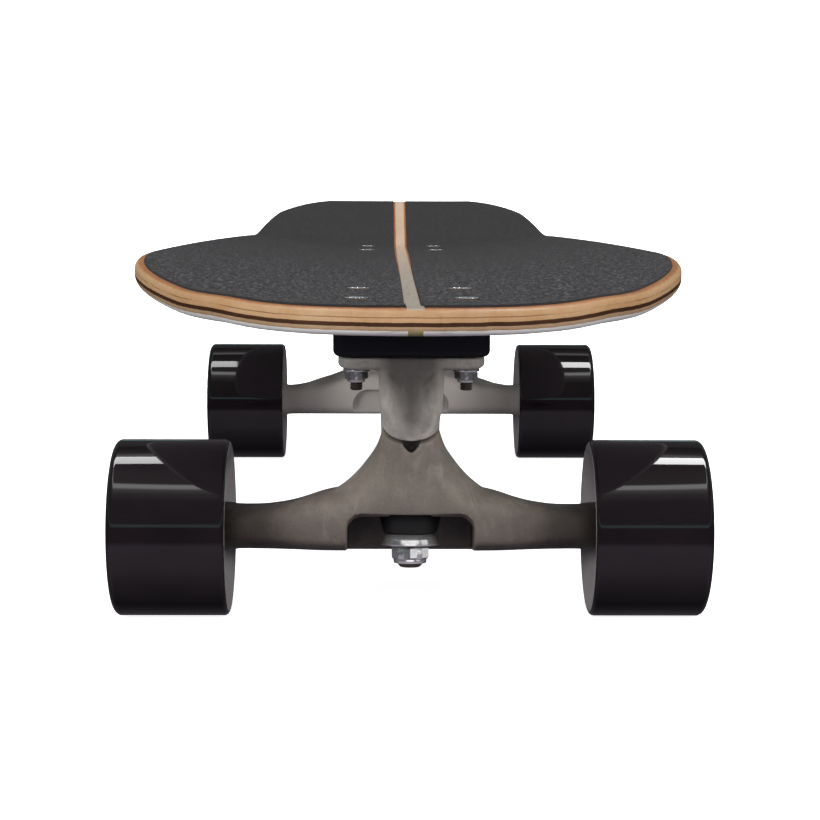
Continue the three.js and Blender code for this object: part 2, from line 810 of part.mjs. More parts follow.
function barSolid() {
  const right = barPlaceShares.map((share, i) => barRing(share * hangerHalf, i))
  const left = barPlaceShares.slice(1).map((share, i) => barRing(-share * hangerHalf, i + 1)).reverse()
  return solidOf(loftGeometry([...left, ...right]))
}

function moundSolid() {
  const foot = new THREE.Vector3(0, -ringFromAxle, axleHeight)
  const head = pivotMouth.clone().addScaledVector(steerAxis, -neckGap)
  const across = new THREE.Vector3(1, 0, 0)
  const fullTilt = Math.atan2(-steerAxis.y, steerAxis.z)
  const rings = moundHeightShares.map((share, i) => {
    const centre = foot.clone().lerp(head, share)
    const along = new THREE.Vector3(0, Math.cos(share * fullTilt), Math.sin(share * fullTilt))
    const halfWidth = neckRadius + moundWidthShares[i] * (moundHalfWidth - neckRadius)
    const halfDepth = neckRadius + moundDepthShares[i] * (moundHalfDepth - neckRadius)
    return Array.from({ length: hangerSides }, (unused, k) => {
      const [c, s] = eggPoint((k + 0.5) * 2 * Math.PI / hangerSides, 2)
      return centre.clone().addScaledVector(across, c * halfWidth).addScaledVector(along, s * halfDepth)
    })
  })
  return solidOf(loftGeometry(rings))
}

function pivotSolid() {
  const start = neckGap + pivotRadius / 2
  const foot = pivotMouth.clone().addScaledVector(steerAxis, -start)
  const tip = start + pivotReach
  const profile = [[0, 0], [pivotRadius, 0], [pivotRadius, tip - pivotRadius * pivotTaperShare],
    [pivotRadius * pivotTipShare, tip], [0, tip]]
  return solidOf(turned(profile, roundSides, foot, steerAxis))
}

// Arch under the ring: it opens the front and leaves a wall before the axle
function archCut() {
  const high = ringHeight - ringHalf
  const low = axleHeight - hangerTubeRadius - overrun
  const half = archWidth / 2
  const corner = archRoundShares.map((share) => {
    const angle = share * Math.PI / 2
    return [half - archRound * (1 - Math.cos(angle)), high - archRound * (1 - Math.sin(angle))]
  })
  const mirrored = corner.map(([x, z]) => [-x, z]).reverse()
  const outline = [[-half, low], [half, low], ...corner, ...mirrored]
  const far = -axleRadius - archWall
  return solidOf(frontBlock(outline, -hangerFront - moundHalfDepth, far))
}

function upperPocket() {
  const length = pivotAboveRing + neckRadius
  const geometry = turned([[0, 0], [upperPocketAlong, 0], [upperPocketAlong, length], [0, length]], roundSides,
    new THREE.Vector3(), new THREE.Vector3(0, 0, 1))
  geometry.scale(upperPocketAcross / upperPocketAlong, 1, 1)
  geometry.applyQuaternion(new THREE.Quaternion().setFromUnitVectors(new THREE.Vector3(0, 0, 1), kingpinAxis))
  const foot = downKingpin(-ringHalf)
  geometry.translate(foot.x, foot.y, foot.z)
  return solidOf(geometry)
}

function backRelief() {
  const low = axleHeight - hangerTubeRadius - overrun
  const high = low + overrun + backReliefHeight
  const top = backReliefTop / 2
  const foot = backReliefWidth / 2
  const outline = [[-foot, low], [foot, low], [top, high], [-top, high]]
  const wall = hangerTubeRadius - backReliefDepth
  return solidOf(frontBlock(outline, wall, hangerTubeRadius + overrun))
}

// Round seat that keeps the ring's underside square to the kingpin
function lowerSeat() {
  const reach = ringHalf + lowerBushingLength
  return solidOf(rod(bushingRadius + archWall, downKingpin(ringHalf), downKingpin(reach), roundSides))
}

// The small pointed hollow under the pillar's lip
function peakNotch() {
  const high = pivotHeight
  const half = peakNotchWidth / 2
  const lip = pivotHeight - neckRadius * -steerAxis.y - neckGap
  const outline = [[0, lip - peakNotchDrop], [half, lip], [half, high], [-half, high], [-half, lip]]
  const front = -pivotFromAxle - neckRadius * steerAxis.z
  return solidOf(frontBlock(outline, front - overrun, front + peakNotchDepth))
}

function axleBore() {
  const reach = hangerHalf + overrun
  return solidOf(rod(axleRadius + axleClearance, new THREE.Vector3(-reach, 0, axleHeight),
    new THREE.Vector3(reach, 0, axleHeight), roundSides))
}

function hangerGeometry() {
  const body = joined(barSolid(), moundSolid())
  const shaped = without(body, upperPocket(), lowerSeat(), archCut(), backRelief(), peakNotch())
  const bore = solidOf(rod(ringBoreRadius, downKingpin(ringThickness + overrun),
    downKingpin(-ringThickness - overrun), roundSides))
  return geometryOf(without(joined(shaped, pivotSolid()), bore, axleBore()))
}

function axleGeometry() {
  const chamfer = axleChamfer
  const length = axleHalf * 2
  const profile = [[0, 0], [axleRadius - chamfer, 0], [axleRadius, chamfer], [axleRadius, length - chamfer],
    [axleRadius - chamfer, length], [0, length]]
  return turned(profile, roundSides, new THREE.Vector3(-axleHalf, 0, axleHeight), new THREE.Vector3(1, 0, 0))
}

// Wheel pieces, each made round the x axis with the wheel's middle at 0 and its outer face at +x

function tyreGeometry() {
  const half = wheelWidth / 2
  const bore = coreRadius + coreGap
  const seat = coreWidth / 2 - coreChamfer
  const profile = [[bore, -seat], [bore + recessFloor, -coreWidth / 2], [recessRadius, -half]]
  profile.push(...lipArc(-1, innerLip, half))
  profile.push(...lipArc(1, outerLip, half).reverse())
  profile.push([recessRadius, half], [bore + recessFloor, coreWidth / 2], [bore, seat])
  const geometry = turned(profile, wheelSides, new THREE.Vector3(), new THREE.Vector3(1, 0, 0), true)
  return geometry.rotateX(Math.PI / wheelSides)
}

// Quarter round from the side face to the tread
function lipArc(side, lip, half) {
  return arcShares.map((share) => {
    const angle = share * Math.PI / 2
    return [wheelRadius - lip + lip * Math.sin(angle), side * (half - lip + lip * Math.cos(angle))]
  })
}

function coreGeometry() {
  const half = coreWidth / 2
  const seat = half - bearingWidth - bearingGap
  const bore = bearingOuterRadius + bearingGap
  const profile = [[bore, -half], [bore, -seat], [coreBore, -seat], [coreBore, seat], [bore, seat], [bore, half]]
  profile.push([coreRadius - coreChamfer, half], [coreRadius, half - coreChamfer])
  profile.push([coreRadius, -half + coreChamfer], [coreRadius - coreChamfer, -half])
  return turned(profile, roundSides, new THREE.Vector3(), new THREE.Vector3(1, 0, 0), true)
}

function bearingGeometry(side) {
  const half = coreWidth / 2
  const near = half - bearingWidth
  const bore = axleRadius + bearingClearance
  const profile = [[bore, near], [bearingOuterRadius, near], [bearingOuterRadius, half],
    [bore, half]]
  return turned(profile, roundSides, new THREE.Vector3(), new THREE.Vector3(side, 0, 0), true)
}

function axleNutGeometry(side) {
  const foot = new THREE.Vector3(side * (wheelCentre + coreWidth / 2 + bearingGap), 0, axleHeight)
  const bore = axleRadius + axleClearance
  return lockNut(axleNutFlats, axleNutHeight, axleNutCollar, bore, foot, new THREE.Vector3(side, 0, 0))
}

function deckBoltGeometry() {
  const length = boltTopHeight() - deckNutTop + boltNutHeight + boltNutCollar + boltTail
  const profile = [[0, -length], [boltRadius, -length], [boltRadius, -boltHeadHeight], [boltHeadRadius, 0], [0, 0]]
  return turned(profile, smallSides, new THREE.Vector3(0, 0, boltTopHeight()), new THREE.Vector3(0, 0, 1))
}

function deckNutGeometry() {
  const bore = boltRadius + boltClearance
  const foot = new THREE.Vector3(0, 0, deckNutTop)
  return lockNut(boltNutFlats, boltNutHeight, boltNutCollar, bore, foot, new THREE.Vector3(0, 0, -1))
}

// Assembly

function named(name, geometry, material) {
  const mesh = new THREE.Mesh(geometry, material)
  mesh.name = name
  return mesh
}

function wheel(place, side) {
  const group = new THREE.Group()
  const turn = side < 0 ? Math.PI : 0
  const pieces = [
    named(`wheel_${place}_tyre`, tyreGeometry(), materials.urethane),
    named(`wheel_${place}_core`, coreGeometry(), materials.core),
    named(`bearing_${place}_outer`, bearingGeometry(1), materials.steel),
    named(`bearing_${place}_inner`, bearingGeometry(-1), materials.steel),
  ]
  for (const piece of pieces) group.add(piece)
  group.rotation.z = turn
  group.position.set(side * wheelCentre, 0, axleHeight)
  return group
}

// Sides are named as the board's own: left and right when looking from tail to nose
function truck(end, towards) {
  const group = new THREE.Group()
  group.add(named(`${end}_riser_pad`, riserGeometry(), materials.riser))
  group.add(named(`${end}_baseplate`, baseplateGeometry(), materials.casting))
  group.add(named(`${end}_pivot_cup`, pivotCupGeometry(), materials.bushing))
  group.add(named(`${end}_hanger`, hangerGeometry(), materials.casting))
  group.add(named(`${end}_kingpin`, kingpinGeometry(), materials.steel))
  group.add(named(`${end}_upper_bushing`, upperBushingGeometry(), materials.bushing))
  group.add(named(`${end}_lower_bushing`, lowerBushingGeometry(), materials.bushing))
  group.add(named(`${end}_cup_washer`, washerGeometry(), materials.steel))
  group.add(named(`${end}_kingpin_nut`, kingpinNutGeometry(), materials.steel))
  group.add(named(`${end}_axle`, axleGeometry(), materials.steel))
  truckBoltPlaces().forEach(([x, y], i) => {
    const bolt = named(`${end}_deck_bolt_${i + 1}`, deckBoltGeometry(), materials.steel)
    const nut = named(`${end}_deck_nut_${i + 1}`, deckNutGeometry(), materials.steel)
    bolt.position.set(x, y, 0)
    nut.position.set(x, y, 0)
    group.add(bolt, nut)
  })
  for (const side of [-1, 1]) {
    const place = `${end}_${side * towards > 0 ? 'left' : 'right'}`
    group.add(named(`axle_nut_${place}`, axleNutGeometry(side), materials.steel))
    group.add(wheel(place, side))
  }
  return group
}

function skateboard() {
  const board = new THREE.Group()
  board.add(named('deck', deckGeometry(), materials.maple))
  board.add(named('grip_left', gripGeometry(1), materials.grip))
  board.add(named('grip_right', gripGeometry(-1), materials.grip))
  const front = truck('front', 1)
  front.position.y = frontAxlePlace
  const rear = truck('rear', -1)
  rear.position.y = rearAxlePlace
  rear.rotation.z = Math.PI
  board.add(front, rear)
  return board
}

const group = skateboard()
export default group
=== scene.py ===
import json
import math

import bmesh
import bpy
import numpy as np
from mathutils import Matrix, Vector

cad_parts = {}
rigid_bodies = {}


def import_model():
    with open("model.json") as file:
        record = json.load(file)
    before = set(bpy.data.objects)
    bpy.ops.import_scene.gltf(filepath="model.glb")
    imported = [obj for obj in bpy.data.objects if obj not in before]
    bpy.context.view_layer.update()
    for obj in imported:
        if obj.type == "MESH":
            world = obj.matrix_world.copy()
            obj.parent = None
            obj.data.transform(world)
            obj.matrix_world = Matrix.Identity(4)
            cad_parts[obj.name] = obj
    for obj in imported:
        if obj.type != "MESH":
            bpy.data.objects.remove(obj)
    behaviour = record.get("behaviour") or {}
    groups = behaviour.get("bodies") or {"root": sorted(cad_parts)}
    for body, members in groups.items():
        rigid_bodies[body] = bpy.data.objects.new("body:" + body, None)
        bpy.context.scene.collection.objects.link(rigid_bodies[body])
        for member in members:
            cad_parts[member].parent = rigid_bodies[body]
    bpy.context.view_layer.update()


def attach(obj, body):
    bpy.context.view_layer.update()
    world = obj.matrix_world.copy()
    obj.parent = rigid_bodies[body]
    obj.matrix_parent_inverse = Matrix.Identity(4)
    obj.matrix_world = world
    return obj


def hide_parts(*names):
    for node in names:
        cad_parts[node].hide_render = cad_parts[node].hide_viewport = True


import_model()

ENDS = ("front", "rear")
MM = 0.001

# Deck and grip in millimetres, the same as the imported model's. Places along the deck run from its nose
GAP = 0.3
WHEELBASE = 450.0
NOSE_OVERHANG, TAIL_OVERHANG = 145.0, 167.0
DECK_LENGTH = NOSE_OVERHANG + WHEELBASE + TAIL_OVERHANG
HALF_DECK = DECK_LENGTH / 2
DECK_WIDTH, DECK_THICK = 241.5, 9.2
WIDEST = NOSE_OVERHANG + 137.0
NOSE_RISE, NOSE_RISE_LENGTH = 4.2, 88.0
KICK, KICK_BEND, KICK_RISE = NOSE_OVERHANG + WHEELBASE + 45.0, 20.0, 28.0
RAIL_RISE, FLAT_WIDTH = 11.0, 60.0
RAIL_ROUND, END_TRIM = 3.4, 0.3
NOSE_POWER, NOSE_SHARE = 1.8, 0.438
TAIL_POWER, TAIL_SHARE = 1.15, 0.185
RAIL_POWER, NOSE_RAIL, TAIL_RAIL = 1.25, 45.0, 53.0
GRIP_THICK, GRIP_STRIP, GRIP_INSET = 0.9, 5.6, 4.6
GRIP_LOW, GRIP_TOP, GRIP_BEVEL = 0.02, 0.85, 0.25

# Trucks in millimetres. Each is made about its own axle's middle, with its pivot side towards -y
WHEEL_X, WHEEL_R, WHEEL_W = 94.1, 35.0, 45.6
CORE_W, END_PLAY = 24.8, 0.25
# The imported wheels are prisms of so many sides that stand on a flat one
PACKED_WHEEL_SIDES = 24
AXLE_Z = (WHEEL_R + GAP) * math.cos(math.pi / PACKED_WHEEL_SIDES)
AXLE_R = 4.0
RING_Y, RING_Z, RING_HALF = -19.0, AXLE_Z + 13.0, 3.5
PIVOT_Y, PIVOT_Z = -35.0, RING_Z + 31.7
PLATE_WIDTH, PLATE_LENGTH = 55.0, 86.0
PLATE_TOP = PIVOT_Z + 27.5
PLATE_UNDER = PLATE_TOP - 4.5
RISER_WIDTH, RISER_LENGTH, RISER_HEIGHT = 58.5, 88.0, 10.8
RISER_LOW = PLATE_TOP + GAP
RISER_TOP = RISER_LOW + RISER_HEIGHT
DECK_UNDER = RISER_TOP + GAP
DECK_TOP = DECK_UNDER + DECK_THICK
BOLT_SHIFT, BOLT_ACROSS, BOLT_ALONG = -8.0, 41.3, 63.5
BOLT_HOLE, HEAD_HOLE, COUNTERSINK = 2.8, 5.0, 2.6
BOLT_PROUD, KINGPIN_PROUD, AXLE_PROUD = 0.15, 1.6, 2.2
BOLT_TOP = DECK_TOP + GAP + GRIP_THICK + BOLT_PROUD
NUT_TOP = PLATE_UNDER - GAP
PLATE_FRONT = BOLT_SHIFT - PLATE_LENGTH / 2
FRONT_Y = NOSE_OVERHANG - HALF_DECK
REAR_Y = FRONT_Y + WHEELBASE
HANGER_HALF = WHEEL_X - CORE_W / 2 - END_PLAY
AXLE_NUT_X = WHEEL_X + CORE_W / 2 + END_PLAY
BUSHING_R, LOWER_BUSHING, UPPER_BUSHING = 11.8, 7.6, 12.5
KINGPIN_HOLE, KINGPIN_R, KINGPIN_HEAD = 5.1, 4.7, 8.0
HEAD_SEAT = PLATE_TOP - 4.9
NUT_HEIGHT, KINGPIN_COLLAR, AXLE_COLLAR = 5.0, 1.8, 1.5
WASHER_HEIGHT = 4.6
WASHER_DROP = RING_HALF + LOWER_BUSHING + 2 * GAP
NUT_DROP = WASHER_DROP + WASHER_HEIGHT + GAP
KINGPIN_DROP = NUT_DROP + NUT_HEIGHT + KINGPIN_COLLAR + KINGPIN_PROUD
BOSS_FOOT = RING_HALF + UPPER_BUSHING + 2 * GAP
PIVOT_HEAD, PIVOT_GAP, PILLAR_MOUTH = 10.8, 1.2, 10.7
ARCH_HALF, ARCH_CORNER = 24.3, 6.0
BAR_R, BAR_REACH, BAR_RISE, BAR_COLLAR_RISE = 9.4, 36.0, 17.0, 0.8
MOUND_HALF, MOUND_DEEP = 40.0, 18.0
OVERRUN = 5.0

# How finely the castings are remeshed and smoothed: where bar and mound flow together, then all over
FLOW_VOXEL, FLOW_ROUNDS = ((0.9, 34))
SKIN_VOXEL, SKIN_KEPT = ((0.62, 0.4))
PLATE_ROUNDS, HANGER_ROUNDS = ((6, 9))

UP = Vector((0, 0, 1))
RING = Vector((0, RING_Y, RING_Z))
PIVOT = Vector((0, PIVOT_Y, PIVOT_Z))
STEER = (PIVOT - RING).normalized()
LEAN = math.radians(5.6)
KINGPIN = Vector((0, math.sin(LEAN), math.cos(LEAN)))

# Sections of the hanger's bar from its middle to its end, and of its mound from foot to head
BAR_PLACE_SHARES = [0, 0.28, 0.37, 0.44, 0.52, 0.62, 0.73, 0.84, 0.88, 1]
BAR_FRONT_SHARES = [1, 1, 0.98, 0.92, 0.78, 0.58, 0.42, 0.30, 0.20, 0]
BAR_TOP_SHARES = [1, 0.98, 0.86, 0.66, 0.36, 0.12, 0, 0, 0, 0]
BAR_SQUARE_SHARES = [1, 1, 1, 0.95, 0.9, 0.8, 0.65, 0.45, 0.2, 0]
BAR_COLLAR_SHARES = [0, 0, 0, 0, 0, 0, 0, 0, 1, 1]
BAR_CREST = [4.4, 4.4, 4.4, 4.4, 4.4, 4.0, 1.6, 0, 0, 0]
MOUND_HEIGHT_SHARES = [0, 0.24, 0.34, 0.45, 0.55, 0.69, 0.85, 1]
MOUND_WIDTH_SHARES = [1, 0.98, 0.84, 0.58, 0.4, 0.22, 0.07, 0]
MOUND_DEPTH_SHARES = [1, 1, 0.94, 0.86, 0.72, 0.44, 0.17, 0]

# Sections of the deck and the grip, from the middle to the rim, and depths down the deck's side
TOP_SHARES = [0, 0.05, 0.13, 0.24, 0.33, 0.42, 0.5, 0.58, 0.66, 0.73, 0.8, 0.87, 0.94, 1]
RIM_SHARES = [0.8, 0.62, 0.46, 0.32, 0.2, 0.11, 0.04, 0]
WALL_DEPTHS = [3.9, 4.6, 5.3]
END_STEPS = [0.04, 0.12, 0.3, 0.65, 1.2, 2.1, 3.4, 4.7, 6.5, 9,
             12, 15.5, 19.5, 24, 29, 34.5, 40.5, 47, 54, 62]


# Node trees

class Nodes:
    """A small builder round a node tree."""

    def __init__(self, tree, space):
        self.tree = tree
        self.coords = tree.nodes.new("ShaderNodeTexCoord").outputs[space]

    def feed(self, socket, value):
        """Links another node's output to a socket, or sets the socket's number or colour."""
        if isinstance(value, bpy.types.NodeSocket):
            self.tree.links.new(value, socket)
        elif socket.type != "RGBA":
            socket.default_value = value
        elif isinstance(value, tuple):
            socket.default_value = value + (1,)
        else:
            socket.default_value = (value,) * 3 + (1,)

    def node(self, kind, inputs=(), **settings):
        """A new node with its settings and then its inputs, given as (socket, value)."""
        made = self.tree.nodes.new(kind)
        for key, value in settings.items():
            setattr(made, key, value)
        for key, value in inputs:
            self.feed(made.inputs[key], value)
        return made

    def axis(self, name):
        return self.node("ShaderNodeSeparateXYZ", ((0, self.coords),)).outputs[name]

    def mapped(self, *scale):
        return self.node("ShaderNodeMapping", (("Vector", self.coords), ("Scale", scale))).outputs["Vector"]

    def noise(self, scale, detail=4.0, rough=0.55, vector=None, distortion=0.0):
        inputs = (("Vector", vector or self.coords), ("Scale", scale), ("Detail", detail),
                  ("Roughness", rough), ("Distortion", distortion))
        return self.node("ShaderNodeTexNoise", inputs).outputs["Fac"]

    def cells(self, scale, vector=None):
        inputs = (("Vector", vector or self.coords), ("Scale", scale))
        return self.node("ShaderNodeTexVoronoi", inputs).outputs["Distance"]

    def span(self, value, low, high, to_low=0.0, to_high=1.0):
        inputs = (("Value", value), ("From Min", low), ("From Max", high),
                  ("To Min", to_low), ("To Max", to_high))
        return self.node("ShaderNodeMapRange", inputs).outputs["Result"]

    def math(self, operation, first, second=0.0):
        return self.node("ShaderNodeMath", ((0, first), (1, second)), operation=operation).outputs["Value"]

    def times(self, first, second):
        return self.math("MULTIPLY", first, second)

    def mix(self, factor, first, second):
        inputs = (("Factor", factor), ("A", first), ("B", second))
        return self.node("ShaderNodeMix", inputs, data_type="RGBA").outputs["Result"]

    def fade(self, value, low, high, first, second, start=0.0, end=1.0):
        """Passes from one tone to another as the value goes from low to high."""
        return self.mix(self.span(value, low, high, start, end), first, second)


class Shader(Nodes):
    """A material with one surface node."""

    def __init__(self, name):
        self.mat = bpy.data.materials.new(name)
        self.mat.use_nodes = True
        super().__init__(self.mat.node_tree, "Object")
        self.bsdf = next(n for n in self.tree.nodes if n.type == "BSDF_PRINCIPLED")

    def bump(self, height, distance, strength):
        inputs = (("Distance", distance), ("Strength", strength), ("Height", height))
        return self.node("ShaderNodeBump", inputs).outputs["Normal"]

    def done(self, colour, rough, normal=None, metallic=0.0, **others):
        """Feeds the surface node and returns the material."""
        values = {"Base Color": colour, "Roughness": rough, "Metallic": metallic}
        if normal:
            values["Normal"] = normal
        for key, value in others.items():
            values[key.replace("_", " ")] = value
        for key, value in values.items():
            self.feed(self.bsdf.inputs[key], value)
        return self.mat


# Materials

def grain(s, light, dark, vein, tint_scale=9.0):
    """Rotary-cut maple: long fine fibres down the board, thin darker veins and slow changes of tint."""
    long_way = s.mapped(1.0, 0.045, 1.0)
    fibre = s.noise(900, 5, 0.62, long_way)
    figure = s.noise(70, 4, 0.55, long_way, 1.2)
    slow = s.noise(tint_scale, 3, 0.5, s.mapped(1.0, 0.35, 1.0))
    pores = s.cells(1500, s.mapped(1.0, 0.06, 1.0))
    base = s.fade(figure, 0.32, 0.68, light, dark)
    base = s.fade(slow, 0.3, 0.7, base, vein, 0.0, 0.55)
    base = s.fade(fibre, 0.52, 0.72, base, vein, 0.0, 0.45)
    base = s.fade(pores, 0.0, 0.16, base, tuple(c * 0.45 for c in vein), 0.35, 0.0)
    return base, s.mix(0.5, fibre, figure), fibre


def plywood():
    """The deck's layers by their depth under the top, with the bare strip above and lacquer below."""
    s = Shader("maple_plywood")
    depth = s.node("ShaderNodeAttribute", attribute_name="depth").outputs["Fac"]
    across = s.math("ABSOLUTE", s.axis("X"))
    wander = s.times(s.math("SUBTRACT", s.noise(160, 3), 0.5), 0.5)
    level = s.math("ADD", depth, wander)
    maple, height, fibre = grain(s, (0.485, 0.325, 0.190), (0.415, 0.242, 0.114), (0.32, 0.165, 0.068), 22)
    dark = grain(s, (0.060, 0.024, 0.010), (0.038, 0.015, 0.006), (0.02, 0.008, 0.003), 22)[0]
    tan = grain(s, (0.43, 0.30, 0.185), (0.34, 0.22, 0.125), (0.25, 0.145, 0.075), 22)[0]
    stain = grain(s, (0.25, 0.098, 0.030), (0.185, 0.067, 0.019), (0.12, 0.042, 0.011), 22)[0]
    near = grain(s, (0.235, 0.205, 0.172), (0.20, 0.172, 0.140), (0.165, 0.135, 0.105))[0]
    far = grain(s, (0.36, 0.275, 0.205), (0.31, 0.228, 0.165), (0.26, 0.18, 0.122))[0]
    strip = s.fade(s.axis("Y"), -0.12, 0.28, near, far)
    lacquer = s.fade(s.noise(14, 3), 0.3, 0.7, (0.80, 0.79, 0.76), (0.72, 0.71, 0.68))
    brushed = s.noise(60, 4, 0.5, s.mapped(1.0, 0.1, 1.0))
    gold = s.fade(brushed, 0.3, 0.7, (0.38, 0.33, 0.16), (0.28, 0.23, 0.10))
    lacquer = s.fade(across, 0.0024, 0.0026, gold, lacquer)
    seam = s.math("ABSOLUTE", s.math("SUBTRACT", level, 3.0))
    broken = s.span(s.noise(30, 3), 0.42, 0.55, 0.15, 0.75)
    maple = s.mix(s.times(s.span(seam, 0.10, 0.24, 1.0, 0.0), broken), maple, (0.13, 0.055, 0.022))
    # Rim darker just under the top, fading out downwards: painted shadow under the grip's edge
    tone = s.fade(depth, 0.6, 3.6, maple, (0.16, 0.085, 0.035), 0.55, 0.0)
    for start, layer in ((4.55, dark), (5.95, tan), (7.35, lacquer)):
        tone = s.fade(level, start, start + 0.15, tone, layer)
    top = s.fade(across, 0.0027, 0.0030, strip, stain)
    tone = s.fade(depth, 0.25, 0.9, top, tone)
    rough = s.fade(level, 7.35, 7.5, s.span(fibre, 0.3, 0.7, 0.36, 0.52), 0.3)
    return s.done(tone, rough, s.bump(height, 0.00012, 0.35), Specular_IOR_Level=0.35)


def grip_grit():
    """Sand in black resin: crystals with painted glints, painted shade in the hollows between them, darker
    and plainer towards the tail.
    """
    s = Shader("grip_grit")
    grit = s.cells(1450)
    coarse = s.cells(760)
    blotch = s.noise(620, 4, 0.7, s.mapped(1.0, 0.3, 1.0))
    # Grit: lighter crystals with painted shade in the hollows between them
    tone = s.fade(grit, 0.1, 0.62, (0.0350, 0.0315, 0.0350), (0.0085, 0.0075, 0.0084))
    tone = s.fade(s.noise(38, 4, 0.6), 0.3, 0.75, tone, (0.0135, 0.0120, 0.0135), 0.0, 0.5)
    # Painted highlight on the tops of the larger crystals
    tone = s.fade(coarse, 0.0, 0.24, tone, (0.055, 0.052, 0.055), 0.85, 0.0)
    tone = s.fade(blotch, 0.42, 0.49, tone, (0.0035, 0.0032, 0.0035), 0.6, 0.0)
    tone = s.fade(blotch, 0.53, 0.62, tone, (0.085, 0.081, 0.086), 0.0, 0.6)
    # Tiny bright specks: painted glints
    tone = s.fade(s.noise(2600, 2, 0.5), 0.66, 0.74, tone, (0.25, 0.24, 0.24))
    tone = s.fade(s.axis("Y"), -0.20, 0.26, tone, (0.0138, 0.0132, 0.0140), 0.0, 0.9)
    height = s.math("ADD", s.times(grit, -0.8), s.times(coarse, -0.5))
    return s.done(tone, s.span(grit, 0.0, 0.6, 0.72, 0.95), s.bump(height, 0.00055, 0.9),
                  Specular_IOR_Level=0.35)


def casting(name, base, rear_painted_light, foot_shade):
    """Tumbled aluminium with flecks and scuffs; painted shade low down, outwards, in hollows and in the
    pillar's bowl.
    """
    s = Shader(name)

    def shade(share):
        return tuple(c * share for c in base)

    across = s.math("ABSOLUTE", s.axis("X"))
    along = s.axis("Y")
    height = s.axis("Z")
    lumps = s.noise(160, 5, 0.62)
    scuff = s.noise(85, 5, 0.7, s.mapped(1.0, 1.0, 0.35), 1.4)
    smeared = tuple(c * g for c, g in zip(base, (0.84, 0.90, 0.86)))
    tone = s.fade(s.noise(24, 4, 0.55, None, 0.6), 0.36, 0.64, shade(1.12), smeared)
    tone = s.fade(lumps, 0.35, 0.75, tone, shade(0.66), 0.0, 0.7)
    tone = s.fade(scuff, 0.52, 0.66, tone, shade(1.45), 0.0, 0.55)
    tone = s.fade(s.noise(1300, 2, 0.5), 0.66, 0.76, tone, shade(1.45), 0.0, 0.8)
    tone = s.fade(s.noise(640, 4, 0.65), 0.62, 0.70, tone, shade(0.30), 0.0, 0.4)
    # Lighter convex edges: partly real edge wear, partly painted highlight
    edges = s.node("ShaderNodeNewGeometry").outputs["Pointiness"]
    edge_wear_and_highlight = s.times(s.span(edges, 0.515, 0.56), s.span(lumps, 0.4, 0.6, 0.25, 0.9))
    tone = s.mix(edge_wear_and_highlight, tone, shade(1.5))
    # Lighter, neutral tone on the rear truck: painted light
    tone = s.fade(along, -0.1, 0.1, tone, (0.56, 0.52, 0.475), 0.0, rear_painted_light)
    # Darker low down, mostly on the front truck: painted shade on the underside
    low = s.times(s.span(height, 0.026, 0.056, foot_shade, 0.0), s.span(along, -0.1, 0.1, 1.0, 0.35))
    tone = s.mix(low, tone, shade(0.22))
    # Darker out towards the wheels, most on the front truck: painted shade beside the wheels
    outer = s.times(s.span(across, 0.032, 0.062, 0.0, 0.9), s.span(along, -0.1, 0.1, 1.0, 0.5))
    tone = s.mix(outer, tone, shade(0.20))
    # Darker in the pillar's bowl and its channel: painted shade under the plate
    reach = s.math("SUBTRACT", across, s.span(height, 0.078, 0.100, 0.0024, 0.0106))
    bowl = s.times(s.span(height, 0.066, 0.098, 0.0, 0.85), s.span(reach, -0.0030, 0.0032, 1.0, 0.0))
    tone = s.mix(bowl, tone, shade(0.20))
    # Darker from just under the plate upwards: painted shade under the plate and the deck
    tone = s.fade(height, 0.1005, 0.1035, tone, shade(0.25), 0.0, 0.35)
    # Darker where other surfaces are near: painted shade in hollows and crevices
    nearby = s.node("ShaderNodeAmbientOcclusion", (("Distance", 0.016),), samples=8, only_local=True)
    tone = s.fade(nearby.outputs["AO"], 0.50, 0.97, tone, shade(0.14), 0.90, 0.0)
    relief = s.math("ADD", s.times(lumps, 0.9), s.times(s.cells(620), 0.35))
    return s.done(tone, s.span(lumps, 0.3, 0.7, 0.40, 0.58), s.bump(relief, 0.0005, 0.6), 0.15)


def clouded(name, first, second, rough, clouds, fine, bump, tones=(0.3, 0.7), metallic=0.0, specular=0.5,
            fine_rough=False):
    """Two tones in soft clouds under a fine grain, which lifts the surface and may set its roughness."""
    s = Shader(name)
    cloud = s.noise(*clouds)
    surface = s.noise(*fine)
    tone = s.fade(cloud, *tones, first, second)
    shine = s.span(surface if fine_rough else cloud, 0.3, 0.7, *rough)
    return s.done(tone, shine, s.bump(surface, *bump), metallic, Specular_IOR_Level=specular)


